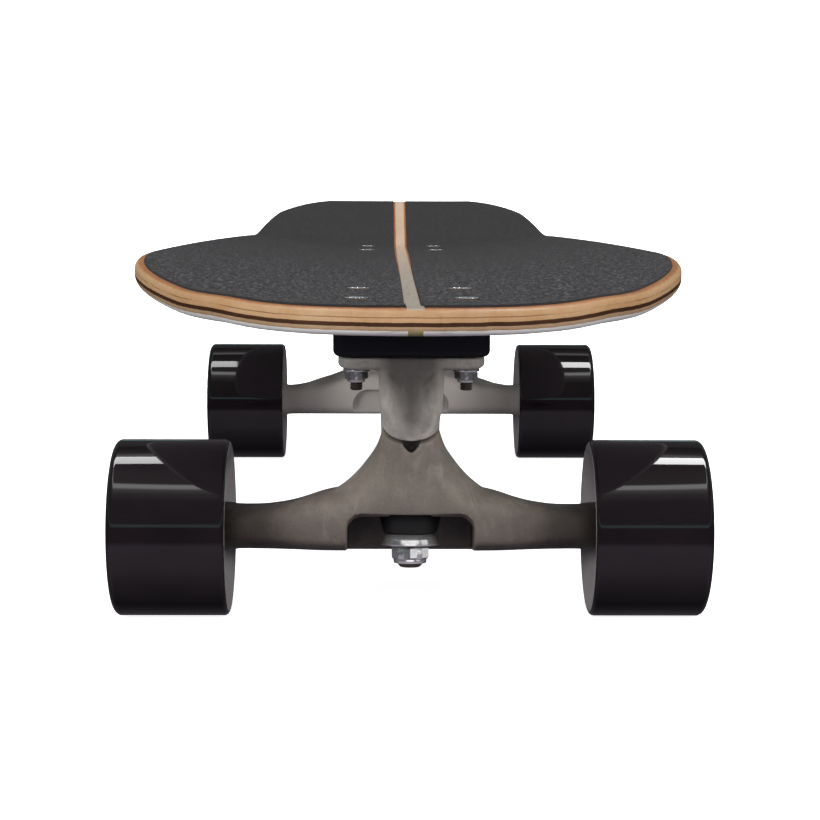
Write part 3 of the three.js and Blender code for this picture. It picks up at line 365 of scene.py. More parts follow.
def make_materials():
    return {
        "ply": plywood(),
        "grip": grip_grit(),
        # Last two numbers: share of the painted lighter rear tone, and of the painted shade low down
        "plate_casting": casting("cast_aluminium_plate", (0.50, 0.465, 0.420), 0.4, 0.0),
        "hanger_casting": casting("cast_aluminium_hanger", (0.280, 0.233, 0.202), 1.0, 0.9),
        "grip_edge": clouded("grip_edge", (0.012, 0.012, 0.013), (0.03, 0.028, 0.028), (0.85, 0.85),
                             (1800, 3), (1800, 3), (0.0001, 0.5), (0.0, 1.0)),
        "riser": clouded("riser_rubber", (0.0030, 0.0036, 0.0060), (0.0052, 0.0058, 0.0088), (0.42, 0.58),
                         (35, 4), (2400, 2), (0.00006, 0.4), specular=0.25),
        "steel": clouded("bright_zinc", (0.74, 0.74, 0.745), (0.58, 0.575, 0.565), (0.14, 0.26),
                         (150, 4, 0.6), (900, 3, 0.6), (0.00003, 0.35), (0.35, 0.7), 0.88),
        "thread": clouded("oiled_steel", (0.10, 0.085, 0.07), (0.055, 0.046, 0.038), (0.38, 0.5),
                          (120, 4, 0.6), (700, 3, 0.6), (0.00004, 0.4), (0.35, 0.7), 0.5),
        "tyre": clouded("gloss_urethane", (0.0030, 0.0021, 0.0027), (0.0044, 0.0031, 0.0039), (0.035, 0.055),
                        (45, 3), (600, 3), (0.00001, 0.25), specular=0.45),
        "tyre_side": clouded("satin_urethane", (0.016, 0.0145, 0.0155), (0.024, 0.022, 0.023), (0.40, 0.52),
                             (60, 4), (900, 3), (0.00004, 0.4), fine_rough=True),
        # Inner face and dish: black urethane made light grey, a painted sheen
        "tyre_back": clouded("urethane_painted_sheen", (0.160, 0.148, 0.149), (0.215, 0.200, 0.201), (0.55, 0.68),
                             (60, 4), (900, 3), (0.00004, 0.4), specular=0.3, fine_rough=True),
        "bushing": clouded("bushing_urethane", (0.0085, 0.0085, 0.0080), (0.0145, 0.0145, 0.0135),
                           (0.36, 0.5), (110, 4), (1500, 2), (0.00003, 0.4), specular=0.4),
        "core": clouded("core_plastic", (0.016, 0.016, 0.017), (0.026, 0.026, 0.027), (0.38, 0.5),
                        (90, 4), (1700, 2), (0.00005, 0.4)),
        "shield": clouded("bearing_shield", (0.030, 0.030, 0.031), (0.048, 0.047, 0.047), (0.42, 0.42),
                          (220, 4), (1500, 2), (0.00004, 0.4)),
        "nylon": clouded("nylon_insert", (0.62, 0.62, 0.60), (0.50, 0.50, 0.48), (0.5, 0.5),
                         (300, 3), (300, 3), (0.00004, 0.4)),
    }


MATS = make_materials()


# Meshes

def make_mesh(name, verts, faces, looks, weld, dissolve=None):
    """A mesh with its face materials, welded points and outward faces."""
    mesh = bpy.data.meshes.new(name)
    mesh.from_pydata([tuple(v) for v in verts], [], faces)
    if looks is not None:
        mesh.polygons.foreach_set("material_index", looks)
    bm = bmesh.new()
    bm.from_mesh(mesh)
    bmesh.ops.remove_doubles(bm, verts=bm.verts, dist=weld)
    if dissolve:
        bmesh.ops.dissolve_degenerate(bm, edges=bm.edges, dist=dissolve)
    bmesh.ops.recalc_face_normals(bm, faces=bm.faces)
    bm.to_mesh(mesh)
    bm.free()
    return mesh


def put_in_scene(name, data):
    obj = bpy.data.objects.new(name, data)
    bpy.context.scene.collection.objects.link(obj)
    return obj


def adopt(mesh, name, node, mats, body, sharp):
    """Makes a finished piece of a mesh in metres. Without mats the mesh keeps the materials that it has."""
    # Clearing also resets the faces' materials, so it is left out where there are no slots
    if mats and mesh.materials:
        mesh.materials.clear()
    for key in mats:
        mesh.materials.append(MATS[key])
    mesh.shade_smooth()
    if sharp is not None:
        mesh.set_sharp_from_angle(angle=math.radians(sharp))
    obj = put_in_scene(name, mesh)
    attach(obj, body)
    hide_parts(node)


def solid(verts, faces, looks=None):
    """A loose working object for booleans, in millimetres."""
    return put_in_scene("work", make_mesh("work", verts, faces, looks, 1e-4))


def placed_mesh(work, place=Matrix()):
    """A copy of a working object's mesh, moved to its place and in metres."""
    mesh = work.data.copy()
    mesh.transform(Matrix.Scale(MM, 4) @ place)
    return mesh


def applied(obj):
    """Bakes an object's modifiers into its mesh."""
    deps = bpy.context.evaluated_depsgraph_get()
    mesh = bpy.data.meshes.new_from_object(obj.evaluated_get(deps))
    obj.modifiers.clear()
    old = obj.data
    obj.data = mesh
    bpy.data.meshes.remove(old)
    return obj


def combine(obj, others, operation):
    for other in others:
        mod = obj.modifiers.new("bool", "BOOLEAN")
        mod.operation = operation
        mod.solver = "EXACT"
        mod.object = other
    applied(obj)
    for other in others:
        bpy.data.objects.remove(other)
    return obj


def frame_of(axis):
    return UP.rotation_difference(Vector(axis)).to_matrix()


def rounded(points, steps=4):
    """A closed or open profile of (r, z) or (r, z, fillet) points with its corners rounded."""
    closed = points[0][:2] == points[-1][:2]
    pts = points[:-1] if closed else points
    count = len(pts)
    out = []
    for i, point in enumerate(pts):
        here = Vector(point[:2])
        fillet = point[2] if len(point) > 2 else 0.0
        if fillet <= 0 or not (closed or 0 < i < count - 1):
            out.append(tuple(here))
            continue
        before = Vector(pts[i - 1][:2]) - here
        after = Vector(pts[(i + 1) % count][:2]) - here
        reach = min(fillet, before.length * 0.49, after.length * 0.49)
        a = here + before.normalized() * reach
        b = here + after.normalized() * reach
        for k in range(steps + 1):
            t = k / steps
            out.append(tuple(a * (1 - t) ** 2 + here * 2 * t * (1 - t) + b * t ** 2))
    return out + out[:1] if closed else out


def revolve(profile, sides, foot=(0, 0, 0), axis=UP, shape=None):
    """Verts and faces of a profile of (r, z) turned about an axis. shape(angle, r, z) may change r."""
    turn = frame_of(axis)
    foot = Vector(foot)
    closed = tuple(profile[0]) == tuple(profile[-1])
    rows = profile[:-1] if closed else profile
    verts = []
    for r, z in rows:
        for k in range(sides):
            angle = 2 * math.pi * k / sides
            radius = shape(angle, r, z) if shape else r
            verts.append(turn @ Vector((radius * math.cos(angle), radius * math.sin(angle), z)) + foot)
    faces = []
    count = len(rows)
    for i in range(count if closed else count - 1):
        faces += band(i * sides, (i + 1) % count * sides, sides)
    if not closed:
        faces += [tuple(range(sides)), tuple(range((count - 1) * sides, count * sides))]
    return verts, faces


def band(first, second, count):
    """Faces between two rings of points, by the number of each ring's first point."""
    return [(first + k, first + (k + 1) % count, second + (k + 1) % count, second + k) for k in range(count)]


def loft(rings):
    """Verts and faces of a skin through rings of points, closed at both ends."""
    count = len(rings[0])
    verts = [p for ring in rings for p in ring]
    faces = []
    for i in range(len(rings) - 1):
        faces += band(i * count, (i + 1) * count, count)
    return verts, faces + [tuple(range(count)), tuple(range(len(verts) - count, len(verts)))]


def merged(parts):
    verts, faces = [], []
    for v, f in parts:
        base = len(verts)
        verts += list(v)
        faces += [tuple(i + base for i in face) for face in f]
    return verts, faces


def rod(radius, start, end, sides=48):
    start, end = Vector(start), Vector(end)
    length = (end - start).length
    return solid(*revolve([(radius, 0), (radius, length)], sides, start, (end - start).normalized()))


def prism(outline, near, far, plane="front"):
    """An outline of (x, z) pairs between two places along y, or of (y, z) pairs between two along x."""
    if plane == "front":
        rings = [[Vector((x, y, z)) for x, z in outline] for y in (near, far)]
    else:
        rings = [[Vector((x, y, z)) for y, z in outline] for x in (near, far)]
    return solid(*loft(rings))


def rounded_rectangle(width, length, corner, middle_y, steps=8):
    out = []
    for turns, (sx, sy) in enumerate(((1, 1), (-1, 1), (-1, -1), (1, -1))):
        for i in range(steps + 1):
            angle = (turns + i / steps) * math.pi / 2
            out.append((sx * (width / 2 - corner) + corner * math.cos(angle),
                        middle_y + sy * (length / 2 - corner) + corner * math.sin(angle)))
    return out


def quarter(steps):
    """Sine and cosine at even steps round a quarter turn."""
    angles = [k / steps * math.pi / 2 for k in range(steps + 1)]
    return [(math.sin(angle), math.cos(angle)) for angle in angles]


def ease(share):
    share = min(max(share, 0.0), 1.0)
    return share * share * (3 - 2 * share)


def hermite(t, a, b, slope_a, slope_b):
    return ((2 * t ** 3 - 3 * t ** 2 + 1) * a + (t ** 3 - 2 * t ** 2 + t) * slope_a
            + (-2 * t ** 3 + 3 * t ** 2) * b + (t ** 3 - t ** 2) * slope_b)


def smooth_table(places, values, at):
    """Monotone cubic through a table, so that finer rings follow the coarse ones without ripples."""
    last = len(places) - 1
    i = max(0, min(last - 1, int(np.searchsorted(places, at, side="right")) - 1))
    step = places[i + 1] - places[i]
    slopes = [(values[k + 1] - values[k]) / (places[k + 1] - places[k]) for k in range(last)]

    def tangent(k):
        if k in (0, last):
            return slopes[-1] if k else slopes[0] * 0.5
        a, b = slopes[k - 1], slopes[k]
        return 0.0 if a * b <= 0 else 2 * a * b / (a + b)

    t = (at - places[i]) / step
    return hermite(t, values[i], values[i + 1], tangent(i) * step, tangent(i + 1) * step)


# Deck and grip

def half_width(s):
    place = min(max(s, END_TRIM), DECK_LENGTH - END_TRIM)
    if place < WIDEST:
        return DECK_WIDTH / 2 * (1 - (1 - place / WIDEST) ** NOSE_POWER) ** NOSE_SHARE
    v = (place - WIDEST) / (DECK_LENGTH - WIDEST)
    return DECK_WIDTH / 2 * (1 - v ** TAIL_POWER) ** TAIL_SHARE


def centre_rise(s):
    if s < NOSE_RISE_LENGTH:
        return NOSE_RISE * (1 + math.cos(math.pi * s / NOSE_RISE_LENGTH)) / 2
    past = max(s - KICK, 0.0)
    slope = KICK_RISE / (DECK_LENGTH - KICK - KICK_BEND / 2)
    if past < KICK_BEND:
        return slope * past * past / (2 * KICK_BEND)
    return slope * (past - KICK_BEND / 2)


def deck_top(s, x):
    """Height of the deck's top: its rise along the middle and its concave towards the rails."""
    past = max(abs(x) - FLAT_WIDTH / 2, 0.0) / (DECK_WIDTH / 2 - FLAT_WIDTH / 2)
    fade = min(1.0, s / NOSE_RAIL, (DECK_LENGTH - s) / TAIL_RAIL)
    return DECK_TOP + centre_rise(s) + RAIL_RISE * fade * past ** RAIL_POWER


def deck_stations():
    middle = list(np.linspace(70, DECK_LENGTH - 70, 120))
    return END_STEPS + middle + [DECK_LENGTH - e for e in reversed(END_STEPS)]


def outline_points():
    """The deck's outline on its left half, from the nose to the tail, as (x, s)."""
    ends = np.concatenate([np.linspace(0, 1, 30) ** 3 * 30, np.linspace(31, DECK_LENGTH - 31, 500),
                           DECK_LENGTH - np.linspace(1, 0, 30) ** 3 * 30])
    side = [(half_width(s), s) for s in ends]
    nose = [(x, 0.0) for x in np.linspace(0, side[0][0], 12)]
    tail = [(x, DECK_LENGTH) for x in np.linspace(side[-1][0], 0, 40)]
    return np.array(nose + side + tail)


def outline_gaps(spots, outline):
    """Distance of each spot from the outline's nearest stretch."""
    start, step = outline[:-1], np.diff(outline, axis=0)
    keep = (step ** 2).sum(1) > 1e-12
    start, step = start[keep], step[keep]
    away = spots[:, None, :] - start[None, :, :]
    share = np.clip((away * step).sum(2) / (step ** 2).sum(1), 0, 1)
    return np.sqrt(((away - share[:, :, None] * step) ** 2).sum(2)).min(1)


def rim_drop(distance):
    """How far the rounded rim lies below the top at that distance from the outline."""
    if distance >= RAIL_ROUND:
        return 0.0
    return RAIL_ROUND - math.sqrt(RAIL_ROUND ** 2 - (RAIL_ROUND - max(distance, 0)) ** 2)


def deck_half_ring(s, outline):
    """(x, depth) from the middle of the top round to the middle of the underside."""
    half = half_width(s)
    rim = min(RAIL_ROUND + 0.4, half * 0.5)
    inner = min(4.4, (half - rim) * 0.5)
    xs = [0.0, inner * 0.5]
    xs += [inner + share * (half - rim - inner) for share in TOP_SHARES]
    xs += [half - rim * share for share in RIM_SHARES]
    gaps = outline_gaps(np.array([(x, s) for x in xs]), outline)
    gaps[-1] = 0.0
    top = [(x, rim_drop(gap)) for x, gap in zip(xs, gaps)]
    wall = [(half, depth) for depth in WALL_DEPTHS]
    return top + wall + [(x, DECK_THICK - depth) for x, depth in reversed(top)]


def bolt_places(axle_y=0.0, shift=BOLT_SHIFT):
    """The four bolts of a truck whose axle is at that y and whose bolt pattern is shifted from it."""
    return [(across * BOLT_ACROSS / 2, axle_y + shift + along * BOLT_ALONG / 2)
            for along in (-1, 1) for across in (-1, 1)]


ALL_BOLTS = bolt_places(FRONT_Y) + bolt_places(REAR_Y, -BOLT_SHIFT)


def build_deck():
    outline = outline_points()
    rings = []
    for s in deck_stations():
        half = deck_half_ring(s, outline)
        right = [Vector((x, s - HALF_DECK, deck_top(s, x) - depth)) for x, depth in half]
        rings.append(right + [Vector((-p.x, p.y, p.z)) for p in reversed(right[1:-1])])
    work = solid(*loft(rings))
    hole = [(BOLT_HOLE, DECK_UNDER - BOLT_TOP - OVERRUN), (BOLT_HOLE, -COUNTERSINK), (HEAD_HOLE, 0),
            (HEAD_HOLE, OVERRUN)]
    cutters = [revolve(hole, 40, (x, y, BOLT_TOP)) for x, y in ALL_BOLTS]
    combine(work, [solid(*merged(cutters))], "DIFFERENCE")
    depths = work.data.attributes.new("depth", "FLOAT", "POINT")
    for i, vertex in enumerate(work.data.vertices):
        x, y, z = vertex.co
        depths.data[i].value = deck_top(y + HALF_DECK, x) - z
    adopt(placed_mesh(work), "deck_wood", "deck", ("ply",), "board", 40)
    bpy.data.objects.remove(work)


def grip_edge_at(s):
    step = GRIP_INSET * 0.25
    slope = (half_width(s + step) - half_width(s - step)) / (2 * step)
    half = half_width(s)
    inset = GRIP_INSET - 0.6 - 1.8 * ease((s - 520) / 160)
    return half - min(inset * math.hypot(1, slope), half * 0.6)


def strip_half(s):
    """Half of the bare strip between the sheets; towards the tail its stained borders show too."""
    return GRIP_STRIP / 2 + 0.15 + 1.0 * ease((s - 250) / 300)


def build_grip(side, name):
    """One sheet of grip with bevelled long edges and clearance round the bolts."""
    count = len(TOP_SHARES)
    rings = []
    for s in deck_stations():
        if not GRIP_INSET < s < DECK_LENGTH - GRIP_INSET:
            continue
        inner, outer = strip_half(s), grip_edge_at(s)
        xs = [inner + share * (outer - inner) for share in TOP_SHARES]
        under = [(x, GRIP_LOW) for x in xs]
        over = [(x, GRIP_TOP) for x in reversed(xs)]
        over[0] = (xs[-1] - GRIP_BEVEL, GRIP_TOP)
        over[-1] = (xs[0] + GRIP_BEVEL, GRIP_TOP)
        rings.append([Vector((side * x, s - HALF_DECK, deck_top(s, x) + lift)) for x, lift in under + over])
    ring_looks = [0 if count <= k < 2 * count - 1 else 1 for k in range(2 * count)]
    work = solid(*loft(rings), ring_looks * (len(rings) - 1) + [1, 1])
    hole = [(HEAD_HOLE, -8), (HEAD_HOLE, 6)]
    cutters = [revolve(hole, 40, (x, y, DECK_TOP)) for x, y in ALL_BOLTS if x * side > 0]
    tool = solid(*merged(cutters))
    for obj, keys in ((work, ("grip", "grip_edge")), (tool, ("grip_edge",))):
        for key in keys:
            obj.data.materials.append(MATS[key])
    combine(work, [tool], "DIFFERENCE")
    adopt(placed_mesh(work), f"grip_sheet_{name}", f"grip_{name}", (), "board", 40)
    bpy.data.objects.remove(work)


# Fasteners

def hex_shape(flats):
    """Radius limited by a hexagon of that size across its flats."""
    def shape(angle, r, z):
        near = (angle + math.pi / 6) % (math.pi / 3) - math.pi / 6
        return min(r, flats / 2 / math.cos(near))
    return shape


def nut_mesh(flats, height, collar, bore, foot, axis, sides=96):
    """Lock nut: chamfered hexagon, rolled collar, nylon ring and bore. Returns verts, faces and looks."""
    corner = flats / 2 / math.cos(math.pi / 6)
    drop = (corner - flats / 2) * 0.62
    flat_r = flats / 2 * 0.955
    neck = flats / 2 - collar * 0.42
    top = height + collar
    lip = bore + (neck - bore) * 0.42
    profile = [
        (bore, 0.35), (bore + 0.35, 0), (flat_r, 0), (corner, drop), (corner, height - drop),
        (flat_r, height), (neck + 0.15, height), (neck, height + 0.15), (neck, top - collar * 0.35),
        (neck - collar * 0.12, top - 0.12), (neck - collar * 0.35, top), (lip + 0.15, top), (lip, top - 0.12),
        (lip, top - 0.45), (bore + 0.05, top - 0.5), (bore, top - 0.6), (bore, 0.35),
    ]
    nylon_rows = (12, 13, 14)
    verts, faces = revolve(profile, sides, foot, axis, hex_shape(flats))
    looks = []
    for i in range(len(profile) - 1):
        looks += [1 if i in nylon_rows else 0] * sides
    return verts, faces, looks


def shank(radius, start, length, steps):
    """Close rows along a shank, for thread_shape to cut."""
    return [(radius, start + length * i / steps) for i in range(steps)]


def thread_shape(radius, pitch, depth, low, high):
    """A helical thread on the rows of that radius between two heights."""
    def shape(angle, r, z):
        if not low <= z <= high or abs(r - radius) > 1e-6:
            return r
        phase = (z / pitch - angle / (2 * math.pi)) % 1.0
        return r - depth * (1 - abs(2 * phase - 1)) ** 0.8
    return shape


def recess_depth(x, y):
    """Phillips recess: two crossed slots that get shallower outwards."""
    slot_half, slot_end, slope_width = 0.54, 2.5, 0.2
    deep = 0.0
    for along, across in ((abs(x), abs(y)), (abs(y), abs(x))):
        if across < slot_half and along < slot_end:
            edge = min(1.0, max(0.0, (slot_half - across) / slope_width))
            deep = max(deep, edge * min(1.5, 2.6 * (slot_end - along) / slot_end + 0.25))
    return deep


def bolt_mesh(length):
    """Countersunk bolt with a cross recess and a threaded end, its head's top at height 0."""
    radius, head = 2.4, 4.6
    crown = head - 0.12
    foot, thread_top = -length, 10.5 - length
    sides = 48
    rows = [(0.2, foot), (1.7, foot), (2.05, foot + 0.2)]
    rows += shank(radius, foot + 0.6, thread_top - foot - 0.6, 60)
    rows += [(radius, thread_top + 0.4), (radius, -COUNTERSINK), (head, -0.25), (head, -0.08), (crown, 0)]
    shape = thread_shape(radius, 0.95, 0.34, foot + 0.7, thread_top)
    verts, faces = revolve(rows, sides, (0, 0, 0), UP, shape)
    faces.pop()
    base = len(verts) - sides
    for share in (0.93, 0.85, 0.76, 0.68, 0.6, 0.52, 0.46, 0.4, 0.34, 0.28, 0.22, 0.16, 0.1, 0.05):
        start = len(verts)
        for k in range(sides):
            angle = 2 * math.pi * k / sides
            x, y = crown * share * math.cos(angle), crown * share * math.sin(angle)
            verts.append(Vector((x, y, -recess_depth(x, y))))
        faces += band(base, start, sides)
        base = start
    faces.append(tuple(range(base, base + sides)))
    return verts, faces


# Trucks

def down_kingpin(distance):
    return RING - KINGPIN * distance


def kingpin_at(height):
    return RING + KINGPIN * ((height - RING.z) / KINGPIN.z)


BOLT_LOOKS = ("steel", "thread")
NUT_LOOKS = ("steel", "nylon")


class Truck:
    """Places pieces made in the truck's own frame, where the pivot side faces -y, under the board."""

    def __init__(self, end):
        self.end = end
        front = end == "front"
        turn = Matrix.Identity(4) if front else Matrix.Rotation(math.pi, 4, "Z")
        self.matrix = Matrix.Translation((0, FRONT_Y if front else REAR_Y, 0)) @ turn

    def corner(self, x_sign):
        """The wheel's name at that side of the truck, such as front_left."""
        return f"{self.end}_{'left' if (x_sign > 0) == (self.end == 'front') else 'right'}"

    def add(self, name, node, shape, mats=("steel",), body="board", slot="steel", sharp=35.0):
        """Makes a piece from verts, faces and, with more than one material, each face's look."""
        verts, faces, *looks = shape
        points = [[c * MM for c in self.matrix @ Vector(v)] for v in verts]
        mesh = make_mesh(name, points, faces, looks[0] if looks else None, 1e-7, 1e-8)
        adopt(mesh, name, node, mats, body, sharp)


def pad_ring(width, length, corner, inset, height):
    outline = rounded_rectangle(width - 2 * inset, length - 2 * inset, corner - inset, BOLT_SHIFT)
    return [Vector((x, y, height)) for x, y in outline]


def bolt_hole_tool(low, high):
    hole = [(BOLT_HOLE, low - OVERRUN), (BOLT_HOLE, high + OVERRUN)]
    return solid(*merged([revolve(hole, 32, (x, y, 0)) for x, y in bolt_places()]))


def riser_work():
    """Riser pad with a full round along its lower rim and a small one along its upper rim."""
    rings = []
    for steps, rim, height, way in ((6, 2.4, RISER_LOW, 1), (3, 0.5, RISER_TOP, -1)):
        levels = [(rim * (1 - s), height + way * rim * (1 - c)) for s, c in quarter(steps)]
        rings += [pad_ring(RISER_WIDTH, RISER_LENGTH, 6, inset, level) for inset, level in levels[::way]]
    return combine(solid(*loft(rings)), [bolt_hole_tool(RISER_LOW, RISER_TOP)], "DIFFERENCE")


def pillar_work():
    """The pillar: a skin through level sections under the plate and the round mouth of the pivot cup."""
    recess, foot_recess, corner, width = 0.8, 1.2, 7.4, 24.4
    depth, tension, between = 30.0, 0.7, 6
    forward = Vector((0, STEER.z, -STEER.y))

    def mouth_ring(radius, along):
        centre = PIVOT + STEER * along
        return [centre + Vector((x, 0, 0)) + forward * y
                for x, y in rounded_rectangle(radius * 2, radius * 2, radius - 0.001, 0, 10)]

    def level_ring(across, front_corner, set_back, drop):
        middle = PLATE_FRONT + set_back + depth / 2
        return [Vector((x, y, PLATE_UNDER - drop))
                for x, y in rounded_rectangle(across, depth, front_corner, middle, 10)]

    stages = [
        mouth_ring(PILLAR_MOUTH, PIVOT_GAP),
        level_ring((width + PILLAR_MOUTH * 2) / 2, corner, recess, 15.5),
        level_ring(width, corner, recess, 8),
        level_ring(width, (corner + 2) / 2, recess / 2, 3.2),
        level_ring(width, 2, foot_recess, 0),
    ]
    last = len(stages) - 1
    rings = [mouth_ring(PILLAR_MOUTH - inset, along) for inset, along in ((1.5, 0), (0.75, 0.2), (0.2, 0.6))]
    for i in range(last):
        before, after = stages[max(i - 1, 0)], stages[min(i + 2, last)]
        for k in range(between):
            ring = []
            for p0, p1, p2, p3 in zip(before, stages[i], stages[i + 1], after):
                m1 = (p2 - p0) * 0.5 if i else p2 - p1
                m2 = (p3 - p1) * 0.5 if i < last - 1 else p2 - p1
                ring.append(hermite(k / between, p1, p2, m1 * tension, m2 * tension))
            rings.append(ring)
    rings.append(stages[-1])
    rings.append([p + UP * 2.2 for p in stages[-1]])
    return solid(*loft(rings))


def scoop_work():
    """The bowl under the plate that narrows to a channel down the pillar's front."""
    full_half, full_depth, side = 11.5, 3.8, 1.15
    lip = PIVOT + STEER * PIVOT_GAP
    lip_front, lip_z = lip.y - PILLAR_MOUTH * STEER.z, lip.z + PILLAR_MOUTH * STEER.y
    # Each row: place of the front face, height, share of the width, share of the depth
    table = [
        (PLATE_FRONT - 0.4, PLATE_TOP + 1.5, 1.06, 1.0),
        (PLATE_FRONT, PLATE_UNDER, 0.98, 1.0),
        (PLATE_FRONT + 0.4, PLATE_UNDER - 1.6, 0.82, 1.0),
        (PLATE_FRONT + 0.6, PLATE_UNDER - 4.7, 0.56, 0.8),
        (PLATE_FRONT + 0.8, PLATE_UNDER - 7.5, 0.40, 0.62),
        (PLATE_FRONT + 0.8, PLATE_UNDER - 15.5, 0.34, 0.5),
        (lip_front, lip_z, 0.30, 0.26),
    ]
    faces, heights, widths, depths = zip(*table)
    drops = [-z for z in heights]
    rings = []
    for drop in np.linspace(drops[0], drops[-1], 22):
        face = float(np.interp(drop, drops, faces))
        half = smooth_table(drops, widths, drop) * full_half
        deep = smooth_table(drops, depths, drop) * full_depth
        ring = [Vector((s * half, face + deep * (1 - abs(s) ** 2.6), -drop))
                for s in np.linspace(-side, side, 19)]
        ring += [Vector((s * half, face - OVERRUN, -drop)) for s in (side, -side)]
        rings.append(ring)
    return solid(*loft(rings))


def baseplate_work():
    """Plate, web, pillar and kingpin boss joined, then scooped, bored and drilled."""
    rim = ((2.2, PLATE_UNDER), (1.0, PLATE_UNDER + 0.45), (0.35, PLATE_UNDER + 1.0), (0.0, PLATE_UNDER + 1.7),
           (0.0, PLATE_TOP - 0.3), (0.3, PLATE_TOP))
    plate = solid(*loft([pad_ring(PLATE_WIDTH, PLATE_LENGTH, 9, inset, height) for inset, height in rim]))
    web_half, web_low = 5.5, PLATE_UNDER - 17
    back = PLATE_LENGTH / 2 + BOLT_SHIFT - 9
    mid = PLATE_UNDER + 2.2
    web = prism([(PIVOT_Y, web_low), (RING_Y, web_low), (-4, web_low + 5.5), (8, PLATE_UNDER - 4),
                 (back, PLATE_UNDER), (back, mid), (PIVOT_Y, mid)], -web_half, web_half, "side")
    foot = down_kingpin(-BOSS_FOOT)
    length = (kingpin_at(mid) - foot).length
    flare = [(0, 0), (11, 0, 1.6), (11.7, length * 0.5), (12.2, length * 0.82, 4), (16, length), (0, length)]
    boss = solid(*revolve(rounded(flare)[1:-1], 64, foot, KINGPIN))
    work = combine(plate, [web, pillar_work(), boss], "UNION")
    above = kingpin_at(PLATE_TOP + OVERRUN)
    cuts = [
        scoop_work(),
        rod(8.15, PIVOT - STEER * OVERRUN, PIVOT + STEER * 12.5, 64),
        rod(KINGPIN_HOLE, down_kingpin(OVERRUN - BOSS_FOOT), above),
        rod(KINGPIN_HEAD + 0.4, kingpin_at(HEAD_SEAT) - KINGPIN * 0.4, above),
        bolt_hole_tool(PLATE_UNDER, PLATE_TOP),
    ]
    return combine(work, cuts, "DIFFERENCE")


def egg(angle, power):
    c, s = math.cos(angle), math.sin(angle)
    return math.copysign(abs(c) ** (2 / power), c), math.copysign(abs(s) ** (2 / power), s)


def bar_work(sides=80):
    """The axle's bar: round at its ends, and wider, taller and squarer towards the middle."""
    spots = list(np.linspace(0, 0.62, 32)) + list(np.linspace(0.64, 1, 14))
    rings = []
    for share in [-s for s in reversed(spots[1:])] + spots:
        collar, front, top, square, crest = (
            smooth_table(BAR_PLACE_SHARES, row, abs(share))
            for row in (BAR_COLLAR_SHARES, BAR_FRONT_SHARES, BAR_TOP_SHARES, BAR_SQUARE_SHARES, BAR_CREST))
        radius = BAR_R + collar * BAR_COLLAR_RISE
        reach = radius + front * (BAR_REACH - radius)
        rise = radius + top * (BAR_RISE - radius)
        ring = []
        for k in range(sides):
            angle = (k + 0.5) * 2 * math.pi / sides
            if angle > math.pi:
                power = 2 - 0.5 * square if angle < math.pi * 1.5 else 2
            else:
                power = 2 + square * (3.0 if angle > math.pi / 2 else 1.2)
            c, s = egg(angle, power)
            lift = crest * max(-c, 0) * math.sqrt(max(s, 0))
            ring.append(Vector((share * HANGER_HALF, c * (reach if c < 0 else radius),
                                AXLE_Z + lift + s * (rise if s > 0 else radius - 1.2))))
        rings.append(ring)
    return solid(*loft(rings))


def mound_work(sides=72):
    """The mound that rises from the bar and narrows to the head of the pivot pin."""
    foot = Vector((0, RING_Y, AXLE_Z))
    head = PIVOT - STEER * PIVOT_GAP
    tilt = math.atan2(-STEER.y, STEER.z)
    rings = []
    for share in np.linspace(0, 1, 34):
        centre = foot.lerp(head, share)
        along = Vector((0, math.cos(share * tilt), math.sin(share * tilt)))
        wide, deep = (
            PIVOT_HEAD + smooth_table(MOUND_HEIGHT_SHARES, row, share) * (full - PIVOT_HEAD)
            for row, full in ((MOUND_WIDTH_SHARES, MOUND_HALF), (MOUND_DEPTH_SHARES, MOUND_DEEP)))
        ring = []
        for k in range(sides):
            angle = (k + 0.5) * 2 * math.pi / sides
            ring.append(centre + Vector((math.cos(angle) * wide, 0, 0)) + along * (math.sin(angle) * deep))
        rings.append(ring)
    return solid(*loft(rings))


def pocket_work():
    """The oval pocket above the ring, in which the upper bushing sits."""
    half_x, half_y = 18.5, 14.6
    verts, faces = revolve([(1, 0), (1, PIVOT_Z - RING_Z + PIVOT_HEAD)], 72)
    turn = frame_of(KINGPIN)
    foot = down_kingpin(-RING_HALF)
    return solid([turn @ Vector((v.x * half_x, v.y * half_y, v.z)) + foot for v in verts], faces)


def arch_outline(half, corner, high):
    """An arch open below: upright sides, rounded shoulders and a level top."""
    low = AXLE_Z - BAR_R - OVERRUN
    arc = [(half - corner * (1 - c), high - corner * (1 - s)) for s, c in quarter(12)]
    return [(-half, low), (half, low)] + arc + [(-x, z) for x, z in reversed(arc)]


def remeshed(work, voxel):
    mod = work.modifiers.new("remesh", "REMESH")
    mod.mode = "VOXEL"
    mod.voxel_size = voxel
    return work


def relaxed(work, rounds, group=""):
    mod = work.modifiers.new("relax", "SMOOTH")
    mod.factor = 0.5
    mod.iterations = rounds
    mod.vertex_group = group
    return work


def blend(work):
    """Remeshes the joined bar and mound and relaxes only where the two flow into each other."""
    flow_half, flow_top, fading = 72, 66, 10
    applied(remeshed(work, FLOW_VOXEL))
    group = work.vertex_groups.new(name="flow")
    for vertex in work.data.vertices:
        x, y, z = vertex.co
        weight = ease((flow_half - abs(x)) / fading) * ease((flow_top - z) / fading)
        group.add([vertex.index], weight, "REPLACE")
    return applied(relaxed(work, FLOW_ROUNDS, "flow"))


def cast_skin(work, rounds):
    """Rounds every edge a little, as a casting has, by remeshing and relaxing the solid."""
    relaxed(remeshed(work, SKIN_VOXEL), rounds)
    mod = work.modifiers.new("thin", "DECIMATE")
    mod.ratio = SKIN_KEPT
    return applied(work)


